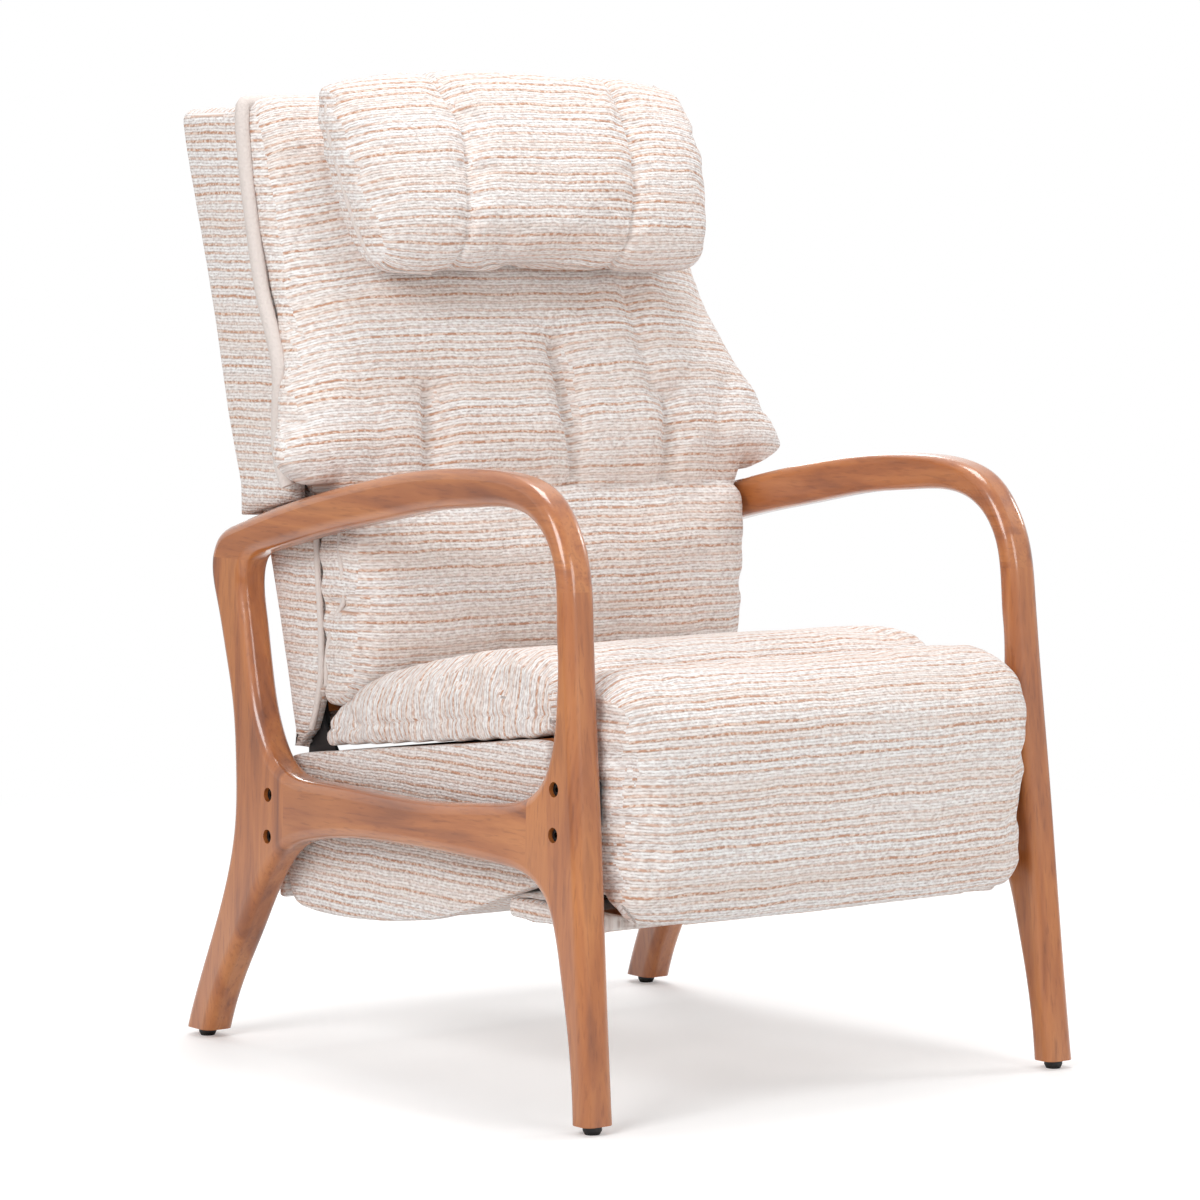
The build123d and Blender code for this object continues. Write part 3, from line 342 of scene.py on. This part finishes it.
def inflate(pieces, frames=20):
    """Lets air pressure fill the covers; each piece has its farthest move in mm and its hold function."""
    before = {}
    for piece, _, hold in pieces:
        before[piece] = [vertex.co.copy() for vertex in piece.data.vertices]
        group = piece.vertex_groups.new(name="hold")
        for vertex in piece.data.vertices:
            weight = hold(*in_mm(vertex.co))
            if weight > 0.01:
                group.add([vertex.index], min(1, weight), "REPLACE")
        cloth = piece.modifiers.new("cover", "CLOTH")
        cover = cloth.settings
        cover.quality = 4
        cover.mass = 0.3
        cover.tension_stiffness = cover.compression_stiffness = 12
        cover.shear_stiffness = 4
        cover.bending_stiffness = 0.4
        cover.shrink_min = -0.02
        cover.use_pressure = True
        cover.uniform_pressure_force = 3.5
        cover.vertex_group_mass = "hold"
        cover.effector_weights.gravity = 0
        cloth.point_cache.frame_end = frames
    for step in range(1, frames + 1):
        bpy.context.scene.frame_set(step)
    for piece, cap, _ in pieces:
        settle(piece)
        limit = cap * MM
        for vertex, start in zip(piece.data.vertices, before[piece]):
            move = vertex.co - start
            if move.length > limit:
                vertex.co = start + move * (limit / move.length)
        piece.vertex_groups.clear()
    bpy.context.scene.frame_set(1)


def near_line(x, y, line):
    """Distance from a point to a bent line in a plane."""
    gaps = []
    for (ax, ay), (bx, by) in zip(line[:-1], line[1:]):
        dx, dy = bx - ax, by - ay
        t = clamp(((x - ax) * dx + (y - ay) * dy) / (dx * dx + dy * dy))
        gaps.append(((x - ax - dx * t) ** 2 + (y - ay - dy * t) ** 2) ** 0.5)
    return min(gaps)


def sculpt(piece, depth_at, lumps=1.2):
    """Moves points along their normals by the millimetres of depth_at and by soft lumps."""
    mesh = piece.data
    moves = []
    for vertex in mesh.vertices:
        lump = noise.noise(vertex.co * 14) * lumps + noise.noise(vertex.co * 45) * lumps / 3
        moves.append(vertex.normal * ((depth_at(*in_mm(vertex.co), vertex.normal) + lump) * MM))
    for vertex, move in zip(mesh.vertices, moves):
        vertex.co += move


def groove(distance, width):
    """1 on a line, and fading to 0 at about twice the width beside it."""
    return exp(-(distance / width) ** 2)


def rows_along(profile, closed=True):
    """Gives a function for how far, in metres, a point lies along a bent line in the YZ plane."""
    line = [Vector((0, y, z)) for y, z in profile]
    # Cuts the corners three times, which rounds them as the pieces are rounded
    for _ in range(3):
        ends = line[1:] + line[:1] if closed else line[1:]
        line = [first.lerp(second, share) for first, second in zip(line, ends) for share in (0.25, 0.75)]
    tree = KDTree(len(line))
    lengths = [0]
    for index, place in enumerate(line):
        tree.insert(place, index)
        if index:
            lengths.append(lengths[-1] + (place - line[index - 1]).length)
    tree.balance()

    def across(co):
        place = Vector((0, *in_mm(co)[1:]))
        near, index, _ = tree.find(place)
        step = line[min(index + 1, len(line) - 1)] - line[max(index - 1, 0)]
        return (lengths[index] + (place - near).dot(step.normalized())) * MM
    return across


def weave(piece, across=None, side_turned=False):
    """Writes the weave map in metres: u runs along the rows and v across them."""
    mesh = piece.data
    layer = mesh.uv_layers.new(name="weave")
    rows = [across(vertex.co) if across else vertex.co.z for vertex in mesh.vertices]
    for face in mesh.polygons:
        sideways = abs(face.normal.x) > 0.8
        level = across is None and abs(face.normal.z) > 0.75
        for corner in face.loop_indices:
            index = mesh.loops[corner].vertex_index
            co = mesh.vertices[index].co
            if sideways:
                layer.data[corner].uv = (co.z, co.y) if side_turned else (co.y, co.z)
            else:
                layer.data[corner].uv = (co.x, co.y if level else rows[index])


def upholster(piece, body):
    """Smooth shading and the body of a piece."""
    for face in piece.data.polygons:
        face.use_smooth = True
    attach(piece, body)


def finish_soft(piece, body, fill, *replaced, across=None, side_turned=False, declare=True):
    """Ends a soft piece: its weave, its body and the hiding of the nodes that it stands for; fill, how full it
    is, is not used.
    """
    weave(piece, across, side_turned)
    upholster(piece, body)
    if replaced:
        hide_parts(*replaced)


def piping(name, points, radius, body, surface=None):
    """Corded edge: a round tube along points, drawn to a surface where one is given."""
    tree = None
    if surface:
        mesh = surface.data
        tree = BVHTree.FromPolygons([v.co for v in mesh.vertices], [f.vertices for f in mesh.polygons])
    curve = bpy.data.curves.new(name, "CURVE")
    curve.dimensions = "3D"
    curve.bevel_depth = radius * MM
    curve.bevel_resolution = 3
    curve.use_fill_caps = True
    line = curve.splines.new("NURBS")
    line.points.add(len(points) - 1)
    for point, place in zip(line.points, points):
        place = at(*place)
        if tree:
            place = tree.find_nearest(place)[0]
        point.co = (*place, 1)
    line.order_u = 3
    line.use_endpoint_u = True
    line.resolution_u = 6
    holder = add_object(name + "_line", curve)
    mesh = final_mesh(holder)
    bpy.data.objects.remove(holder)
    mesh.materials.clear()
    mesh.materials.append(piping_cloth)
    upholster(add_object(name, mesh), body)


def across_profile(profile, stations, anchor):
    """Rings along X of one YZ profile; a station is its x and the share to which the profile shrinks."""
    middle_y, middle_z = anchor
    rings = []
    for x, share in stations:
        rings.append([at(x, middle_y + (y - middle_y) * share, middle_z + (z - middle_z) * share)
                      for y, z in profile])
    return rings


# Seat cushion; its lower edge and the seam at its sides fall by seat_slope towards the rear
seat_slope = 0.12
seat_front = -233
seat_end = 262
seat_profile = [(-231, 373), (-238, 396), (-234, 424), (-216, 443), (-178, 449), (-120, 445), (-26, 430),
                (65, 412), (118, 397), (156, 380), (178, 360), (190, 340), (192, 331), (184, 327), (150, 331),
                (60, 341), (-80, 355), (-190, 368)]
seat_stations = [(-262, 0.84), (-261, 0.92), (-254, 0.975), (-232, 1.0), (-80, 1.01), (80, 1.01), (232, 1.0),
                 (254, 0.975), (261, 0.92), (262, 0.84)]
seat = cushion("seat_cushion_cover", across_profile(seat_profile, seat_stations, (-30, 351)))

# Leg rest pad, drawn in at both ends, with a lip in front of the foot flap
pad_end = 261
pad_profile = [(-249, 222), (-249, 300), (-249, 380), (-249, 425), (-253, 441), (-270, 447), (-298, 444),
               (-330, 436), (-354, 418), (-366, 386), (-369, 346), (-366, 296), (-361, 250), (-357, 218),
               (-351, 198), (-340, 190), (-333, 194), (-331, 205), (-325, 214), (-308, 216), (-270, 216)]
pad_stations = [(-261, 0.70), (-260, 0.82), (-254, 0.91), (-243, 0.965), (-222, 1.0), (-80, 1.01), (80, 1.01),
                (222, 1.0), (243, 0.965), (254, 0.91), (260, 0.82), (261, 0.70)]
pad = cushion("leg_rest_cover", across_profile(pad_profile, pad_stations, (-262, 320)))

# Back cushion: lower and upper part, as rings in level planes.
# An outline's point is its share of the half width, its share of the depth, and its part in the flare.
round_side = ((1.0, 0.0, 0.0), (1.01, 0.38, 0.6), (0.97, 0.74, 1.0), (0.80, 0.95, 0.8), (0.45, 1.01, 0.0))
square_side = ((1.0, 0.0, 0.0), (1.005, 0.40, 0.0), (1.01, 0.80, 0.0), (0.975, 1.01, 0.0), (0.80, 1.03, 0.0),
               (0.40, 1.01, 0.0))


def level_ring(z, half_width, rear, front, flare=0.01, tuck=0, outline=round_side):
    """Ring in a level plane: the sides flare by a share of the width, and the rear tucks into the shell."""
    middle_rise = 1
    side = [(x + flare * part, y) for x, y, part in outline]
    ring = [(half_width * x, rear + (front - rear) * y, z) for x, y in side]
    ring.append((0, front - middle_rise, z))
    if tuck:
        ring = [(half_width - 16, rear + tuck, z), (half_width - 14, rear + 3, z)] + ring
    ring += [(-x, y, z) for x, y, z in reversed(ring) if x]
    ring.append((0, rear + tuck, z))
    return [at(*point) for point in ring]


# A level is its height, half width, rear and front, and for the upper part its flare
lumbar_end, upper_end = 259, 300
lower_levels = [(366, 244, 196, 172), (370, 252, 192, 148), (390, 257, 188, 128), (440, 259, 186, 112),
                (500, 259, 190, 108), (555, 259, 196, 107), (576, 259, 196, 109), (590, 257, 196, 118),
                (604, 248, 196, 142), (620, 240, 196, 160)]
upper_levels = [(606, 284, 194, 142, 0.06), (610, 296, 194, 126, 0.13), (622, 300, 195, 118, 0.17),
                (640, 300, 196, 118, 0.15), (665, 300, 198, 125, 0.12), (690, 300, 201, 134, 0.07),
                (733, 289, 216, 151, 0.03), (800, 281, 249, 182, -0.05), (868, 281, 274, 211, -0.05),
                (920, 281, 286, 230, -0.04), (980, 278, 301, 255, -0.03), (1010, 270, 312, 276, -0.02),
                (1019, 258, 316, 294, 0)]
lower_rings = [level_ring(*level, tuck=14, outline=square_side) for level in lower_levels]
lower_back = cushion("lumbar_cover", lower_rings)
upper_back = cushion("upper_back_cover", [level_ring(*level, tuck=18) for level in upper_levels])

# Headrest pillow, leaning back by pillow_lean.
# A profile's point is its share of the height and of the depth. A station is its share of the half width,
# the shares of the height where its foot and its top lie, and its thickness.
pillow_profile = [(0.0, 0.5), (0.06, 0.80), (0.22, 0.97), (0.48, 1.0), (0.74, 0.92), (0.93, 0.74), (1.0, 0.50),
                  (0.93, 0.20), (0.74, 0.04), (0.45, 0.0), (0.20, 0.04), (0.06, 0.20)]
pillow_left = [(1.0, 0.60, 0.80, 0.14), (0.985, 0.46, 0.86, 0.38), (0.95, 0.24, 0.89, 0.58),
               (0.91, 0.05, 0.905, 0.72), (0.86, 0.0, 0.92, 0.84), (0.60, 0.0, 0.965, 0.97),
               (0.2, 0.0, 1.0, 1.0)]
pillow_right = [(0.975, 0.58, 0.78, 0.14), (0.96, 0.46, 0.85, 0.40), (0.92, 0.26, 0.90, 0.64),
                (0.86, 0.06, 0.92, 0.80), (0.80, 0.0, 0.93, 0.88), (0.55, 0.0, 0.98, 0.98),
                (0.2, 0.0, 1.0, 1.0)]
pillow_bottom, pillow_height, pillow_depth = 822, 232, 111
pillow_half_width, pillow_rear, pillow_lean = 241, 194, 0.36


def pillow_ring(side, place, low, high, thick):
    ring = []
    for up, forward in pillow_profile:
        z = pillow_bottom + pillow_height * (low + (high - low) * up)
        rear = pillow_rear + pillow_lean * (z - pillow_bottom)
        y = rear - pillow_depth * ((1 - thick) / 2 + thick * forward)
        ring.append(at(side * place * pillow_half_width, y, z))
    return ring


pillow_rings = [pillow_ring(-1, *station) for station in pillow_left]
pillow_rings += [pillow_ring(1, *station) for station in reversed(pillow_right)]
pillow = cushion("headrest_pillow_cover", pillow_rings, 5)


# Hold functions: how much each point is held while the covers fill, from 0 to 1.
# The undersides and rears hold, and so do the seams.
def hold_seat(x, y, z):
    return 1 if z < 352 - seat_slope * (y + 30) + 6 or y > 168 else 0


def hold_pad(x, y, z):
    return 1 if y > -253 or z < 222 else 0


def hold_lower(x, y, z):
    if y > 184 or z > 590 or z < 372:
        return 1
    return 0.85 if abs(x) > 250 else 0


# Lines of the sewn creases, as x and z on the front of the upper cushion
creases = [[(-151, 700), (-160, 651), (-163, 606)], [(28, 745), (26, 689), (27, 646), (31, 606)],
           [(163, 686), (155, 632), (156, 600)], [(137, 807), (139, 752), (142, 700)]]
crease_depths = (9, 10, 8, 5)


def hold_upper(x, y, z):
    if y > 192 + max(0, z - 690) * 0.27 or z < 607:
        return 1
    return 0.9 if y < 170 and min(near_line(x, z, line) for line in creases[:3]) < 7 else 0


# Seams of the pillow, from its top down, as z and x
pillow_seams = [[(1040, -107), (978, -97), (904, -113), (838, -126)],
                [(1036, 128), (960, 121), (905, 108), (836, 84)]]


def seam_gap(x, z, line):
    """How far a point lies beside a seam that runs up the pillow."""
    for (high, far), (low, near) in zip(line[:-1], line[1:]):
        if z >= low:
            break
    return x - (near + (far - near) * (z - low) / (high - low))


def hold_pillow(x, y, z):
    seam = min(abs(seam_gap(x, z, line)) for line in pillow_seams)
    return max(0.35 * groove(seam, 5), 1 if abs(x) > 234 else 0)


inflate([(seat, 8, hold_seat), (pad, 6, hold_pad), (lower_back, 9, hold_lower), (upper_back, 12, hold_upper),
         (pillow, 9, hold_pillow)])
for piece in (seat, pad, lower_back, upper_back, pillow):
    smooth(piece, 1)
    settle(piece)
# Between the arms the upper cushion hangs lower, and under its wings it rises
for vertex in upper_back.data.vertices:
    x, z = vertex.co.x / MM, vertex.co.z / MM
    between_arms = clamp((270 - abs(x)) / 14)
    low = clamp((660 - z) / 50)
    vertex.co.z -= (15 + 0.028 * x + 8 * (x / 250) ** 4) * low * low * between_arms * MM
    corner = clamp((abs(x) - 284) / 46) * clamp((655 - z) / 50)
    vertex.co.z += 20 * corner * corner * MM


# Depth functions for sculpt: millimetres outwards, with puckers and folds near the sewn ends
def seat_depth(x, y, z, normal):
    seam = groove(abs(z - (396 - seat_slope * (y - seat_front))), 3) if abs(x) > 250 else 0
    puckers = sin(y * 0.16) * 1.2 * groove(seat_end - abs(x), 22)
    over_cranks = max(0, -normal.z) * clamp((y - 100) / 40) * clamp((200 - abs(x)) / 40)
    return puckers - 2.5 * seam - 13 * over_cranks


def pad_depth(x, y, z, normal):
    end = groove(pad_end - abs(x), 26)
    return sin(z * 0.20 + 1.3 * sin(y * 0.05)) * (1.8 if x < 0 else 0.7) * end


def lower_depth(x, y, z, normal):
    end = groove(lumbar_end - abs(x), 18)
    front = max(0, -normal.y)
    puffs = sin(x * 0.055 + 0.6) * 1.6 * groove(585 - z, 30) * front
    pinch = -7 * groove(near_line(y, z, [(120, 482), (170, 474)]), 9) * groove(256 - abs(x), 26)
    folds = sin(z * 0.17 + y * 0.03) * (1.6 if x < 0 else 0.5) * end
    slack = -4 * front * groove(near_line(x, z, [(165, 590), (178, 555), (196, 515)]), 9)
    return puffs + pinch + folds + slack


def upper_depth(x, y, z, normal):
    front = max(0, -normal.y) ** 0.5
    depth = 0
    for line, deep in zip(creases, crease_depths):
        gap = near_line(x, z, line)
        depth += 4 * groove(gap - 30, 22) - deep * groove(gap, 9) - 0.5 * deep * groove(gap, 24)
    depth += 1.2 * sin(x * 0.045 + z * 0.03) * groove(606 - z, 34)
    depth -= 5 * groove(near_line(x, z, [(-236, 610), (-226, 660), (-240, 705)]), 13)
    depth -= 5 * groove(near_line(x, z, [(232, 608), (224, 650), (246, 700)]), 13)
    depth -= 3 * groove(near_line(x, z, [(60, 812), (100, 790), (150, 800)]), 14)
    return depth * front + sin(z * 0.11) * 1.6 * groove(upper_end - abs(x), 24)


def pillow_depth_at(x, y, z, normal):
    depth = 0
    for line in pillow_seams:
        gap = abs(seam_gap(x, z, line))
        depth += 0.9 * sin(z * 0.24) * groove(gap - 11, 8) - 4.4 * groove(gap, 3.4) - 2.5 * groove(gap, 14)
    return depth + sin(z * 0.18) * 1.6 * groove(pillow_half_width - abs(x), 18)


sculpt(seat, seat_depth)
sculpt(pad, pad_depth)
sculpt(lower_back, lower_depth)
sculpt(upper_back, upper_depth, 1.6)
sculpt(pillow, pillow_depth_at)


# Lines along which the cloth of each piece is measured for its weave
back_profile = [(200, 366), (150, 366), (116, 390), (108, 440), (108, 500), (110, 600), (116, 640), (134, 690),
                (164, 760), (195, 830), (229, 920), (254, 980), (276, 1012), (300, 1021), (318, 1021)]
back_rows = rows_along(back_profile, False)
pillow_line = [(pillow_rear + pillow_lean * pillow_height * up - pillow_depth * forward,
                pillow_bottom + pillow_height * up) for up, forward in pillow_profile]
finish_soft(seat, base_body, 0.8, "seat_cushion", across=rows_along(seat_profile), side_turned=True)
finish_soft(pad, pad_body, 0.8, "leg_rest_pad", across=rows_along(pad_profile))
finish_soft(lower_back, back_body, 0.75, across=back_rows)
finish_soft(upper_back, back_body, 0.7, "back_cushion", across=back_rows)
finish_soft(pillow, back_body, 0.75, "headrest_pillow", across=rows_along(pillow_line))
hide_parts("back_cushion")


# Shell of the back: walls of padded board, open towards the cushion.
# Its front edge is a list of y and z, from the foot up.
front_line = [(231, 320), (222, 332), (206, 344), (186, 387), (187, 461), (195, 524), (197, 600), (197, 660),
              (218, 729), (254, 810), (284, 911), (302, 1004)]
shell_foot, shell_waist, shell_top, shell_wall = 324, 600, 1004, 12
shell_lean, tilt_from = 0.29, 150


def rear_y(z):
    """The shell's rear wall, as y at a height."""
    return 306 + shell_lean * (z - 574)


def front_at(z):
    """The shell's front edge, as y at a height."""
    for (near, low), (far, high) in zip(front_line[:-1], front_line[1:]):
        if low != high and min(low, high) <= z <= max(low, high):
            return near + (far - near) * (z - low) / (high - low)
    return front_line[-1][0]


def shell_box(name, half_width, low, high, slope, rounding, closed_top):
    """Side walls, rear wall and, where asked for, a top, between two heights; slope tilts the lower edge."""
    shape = bmesh.new()
    edges = []
    heights = [low] + [z for y, z in front_line if low < z < high] + [high]
    for z in heights:
        drop = slope if z == low else 0
        front, rear = front_at(z), rear_y(z)
        plan = [(-half_width, front), (-half_width, (front + rear) / 2), (-half_width, rear), (0, rear),
                (half_width, rear), (half_width, (front + rear) / 2), (half_width, front)]
        row = [shape.verts.new(at(x, y, z - drop * (y - tilt_from))) for x, y in plan]
        edges += [shape.edges.new(pair) for pair in zip(row[:-1], row[1:])]
    bmesh.ops.bridge_loops(shape, edges=edges)
    if closed_top:
        top = (high - 1) * MM
        rim = [edge for edge in shape.edges if edge.is_boundary and min(v.co.z for v in edge.verts) > top]
        ends = [vertex for vertex in row if len([e for e in vertex.link_edges if e in rim]) == 1]
        rim.append(shape.edges.new(ends))
        bmesh.ops.holes_fill(shape, edges=rim, sides=0)
    bmesh.ops.recalc_face_normals(shape, faces=shape.faces)
    corner_angle = radians(35)
    creased = [edge for edge in shape.edges
               if len(edge.link_faces) == 2 and edge.calc_face_angle() > corner_angle]
    bmesh.ops.bevel(shape, geom=creased, offset=rounding * MM, segments=5, profile=0.5, affect="EDGES",
                    material=-1)
    bmesh.ops.triangulate(shape, faces=[face for face in shape.faces if len(face.verts) > 4])
    split_long(shape, 0.02)
    piece = new_piece(name, shape)
    wall = piece.modifiers.new("wall", "SOLIDIFY")
    wall.thickness = shell_wall * MM
    wall.offset = -1
    settle(piece)
    return piece


upper_shell = shell_box("back_shell_cover", 283, shell_waist - 2, shell_top, 0.19, 16, True)
lower_shell = shell_box("back_shell_lower_cover", 259, shell_foot, shell_waist, 0, 12, False)


def shell_depth(x, y, z, normal):
    """The shell's sides swell in the middle and wave a little."""
    side = abs(normal.x) ** 4
    middle = (front_at(z) + rear_y(z)) / 2
    return 2.5 * side * groove(y - middle, 34) + 1.5 * sin(z * 0.02 + 1) * side


sculpt(upper_shell, shell_depth, 1.2)
sculpt(lower_shell, shell_depth, 0.8)
finish_soft(upper_shell, back_body, 1.0, "back_shell")
finish_soft(lower_shell, back_body, 1.0)
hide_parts("back_shell")

# Corded edges
rise = [(296, 190, 604), (302, 199, 630), (302, 199, 673), (297, 202, 729), (289, 236, 777), (284, 259, 810),
        (281, 288, 911), (280, 305, 1004)]
edge = [(-x, y, z) for x, y, z in rise] + [(-268, 307, 1009), (0, 308, 1010), (268, 307, 1009)] + rise[::-1]
piping("shell_piping", edge, 8, back_body)
for side, word in ((-1, "left"), (1, "right")):
    edge = [(side * 258, y - 1, z) for y, z in front_line if 340 < z < shell_waist]
    piping("shell_lower_piping_" + word, edge + [(side * 258, 195, 592)], 3.5, back_body)
    edge = [(side * 205, 214, 1036), (side * 232, 206, 1014), (side * 238, 196, 975), (side * 234, 180, 930),
            (side * 226, 162, 880), (side * 218, 148, 844), (side * 205, 138, 826), (side * 150, 134, 820)]
    piping("pillow_piping_" + word, edge, 2.6, back_body, surface=pillow)
    edge = [(side * 250, 150, 592), (side * 254, 149, 547), (side * 254, 141, 511), (side * 252, 145, 484),
            (side * 254, 160, 468), (side * 256, 178, 429), (side * 254, 186, 392)]
    piping("lumbar_piping_" + word, edge, 2.8, back_body, surface=lower_back)


# Side panels of the seat, belly, apron and foot flap.
# The belly is the lower edge of the panels, from the rear.
belly = [(246, 158), (214, 150), (137, 149), (71, 154), (16, 160), (-38, 168), (-92, 184), (-127, 195),
         (-163, 207), (-226, 228)]


def crease_z(y):
    """Upper edge of the side panels, under the seat cushion."""
    return 372 - seat_slope * (y - seat_front)


panel_outline = belly + [(-229, 236), (-230, 300), (-229, 350), (-228, 364), (-221, 369)]
panel_outline += [(y, crease_z(y)) for y in (-200, -150, -60, 60, 150, 210)]
panel_outline += [(234, crease_z(234) - 1), (244, crease_z(243) - 5), (246, 300), (246, 240)]


def panel_depth(x, y, z, normal):
    """Puckers along the upper edge of a side panel."""
    return 1.2 * sin(y * 0.10) * groove(z - crease_z(y), 14) * abs(normal.x)


for side, word in ((-1, "left"), (1, "right")):
    stations = [(side * 250.5, 0.99), (side * 251, 1.0), (side * 260, 1.0), (side * 265.5, 0.99),
                (side * 267, 0.96)]
    panel = loft(word + "_seat_side_cover", across_profile(panel_outline, stations, (10, 260)))
    smooth(panel, 2)
    settle(panel)
    sculpt(panel, panel_depth, 0.9)
    finish_soft(panel, base_body, 0.9, word + "_seat_side")


# The cloth under the seat hangs on the lower edge of the panels and is 4 mm thick with its lining
strip = [(y, z + 1) for y, z in belly[:-1]] + [(y, z + 5) for y, z in reversed(belly[:-1])]
belly_rings = [[at(x, y, z) for y, z in strip] for x in (-250, -180, -90, 0, 90, 180, 250)]
belly_cover = loft("belly_cover", belly_rings)
smooth(belly_cover, 1)
settle(belly_cover)
finish_soft(belly_cover, base_body, 1.0, "under_cover", declare=False)


def soft_block(name, x_range, y_range, z_range, rounding):
    """Box of padded board with rounded edges."""
    shape = bmesh.new()
    bmesh.ops.create_cube(shape, size=1)
    low, high = (at(*corner) for corner in zip(x_range, y_range, z_range))
    bmesh.ops.scale(shape, vec=high - low, verts=shape.verts)
    bmesh.ops.translate(shape, vec=(low + high) / 2, verts=shape.verts)
    bmesh.ops.bevel(shape, geom=shape.edges, offset=rounding * MM, segments=4, profile=0.5, affect="EDGES",
                    material=-1)
    split_long(shape, 0.03)
    return new_piece(name, shape)


def flap_depth(x, y, z, normal):
    """Puckers at the ends of the flap."""
    return 1.2 * sin(y * 0.12) * groove(abs(x) - 262, 16)


apron = soft_block("rear_apron_cover", (-266, 266), (246.3, 259), (159, 300), 4)
sculpt(apron, lambda x, y, z, normal: 0, 0.6)
finish_soft(apron, base_body, 1.0, "rear_apron")
flap = soft_block("foot_flap_cover", (-262, 262), (-303, -156), (185, 200), 7)
# The flap's ends stand up a little beside the leg rest
for vertex in flap.data.vertices:
    if vertex.co.z > 0.192:
        vertex.co.z += 6 * clamp((abs(vertex.co.x) / MM - 234) / 8) * MM
sculpt(flap, flap_depth, 0.6)
finish_soft(flap, flap_body, 0.9, "foot_flap_pad", across=lambda co: co.y)


# Floor, which fades to white away from the chair, backdrop and light
floor_paint, floor_tree, floor_shader = new_material("pale_floor", 0.95)
floor_shader.inputs["Base Color"].default_value = (0.86, 0.86, 0.86, 1)
floor_shader.inputs["Specular IOR Level"].default_value = 0
fade_start, fade_end = 0.7, 2.4
place = node(floor_tree, "TexCoord").outputs["Object"]
reach = node(floor_tree, "VectorMath", {0: place}, operation="LENGTH").outputs["Value"]
far_off = node(floor_tree, "MapRange", {0: reach, 1: fade_start, 2: fade_end, 3: 0, 4: 1},
               interpolation_type="SMOOTHSTEP").outputs[0]
blank = node(floor_tree, "Emission", {0: white, 1: 1.0}).outputs[0]
lift = node(floor_tree, "Emission", {0: white, 1: 0.24}).outputs[0]
lit = node(floor_tree, "AddShader", {0: floor_shader.outputs[0], 1: lift}).outputs[0]
shown = node(floor_tree, "MixShader", {0: far_off, 1: lit, 2: blank}).outputs[0]
camera_ray = node(floor_tree, "LightPath").outputs["Is Camera Ray"]
seen = node(floor_tree, "MixShader", {0: camera_ray, 1: floor_shader.outputs[0], 2: shown}).outputs[0]
floor_tree.links.new(seen, floor_tree.nodes["Material Output"].inputs[0])
floor_shape = bmesh.new()
bmesh.ops.create_grid(floor_shape, x_segments=1, y_segments=1, size=30)
new_piece("floor", floor_shape, floor_paint)

world = bpy.data.worlds.new("studio")
world.use_nodes = True
bpy.context.scene.world = world
# White behind the chair and in reflections, and dimmer as a light
sky = world.node_tree.nodes["Background"]
path = node(world.node_tree, "LightPath")
seen = calc(world.node_tree, "MAXIMUM", path.outputs["Is Camera Ray"], path.outputs["Is Glossy Ray"])
strength = calc(world.node_tree, "MULTIPLY_ADD", seen, 0.6, 0.4)
sky.inputs[0].default_value = white
world.node_tree.links.new(strength, sky.inputs[1])


def lamp(name, place, size, power):
    """Square lamp that looks at the middle of the chair; place and size in metres, power in watts."""
    light = bpy.data.lights.new(name, "AREA")
    light.energy = power
    light.size = size
    holder = add_object(name, light)
    holder.location = place
    holder.rotation_euler = (Vector(place) - lit_point).to_track_quat("Z", "Y").to_euler()


lit_point = Vector((0, 0, 0.5))
lamp("key", (-3.0, -1.2, 2.4), 1.6, 62)
lamp("front", (0.6, -4.2, 1.9), 1.6, 34)
lamp("side", (3.2, -1.0, 2.4), 0.9, 26)
lamp("top", (0.2, 0.3, 3.2), 1.4, 46)
lamp("rear", (1.6, 2.8, 1.9), 1.6, 34)
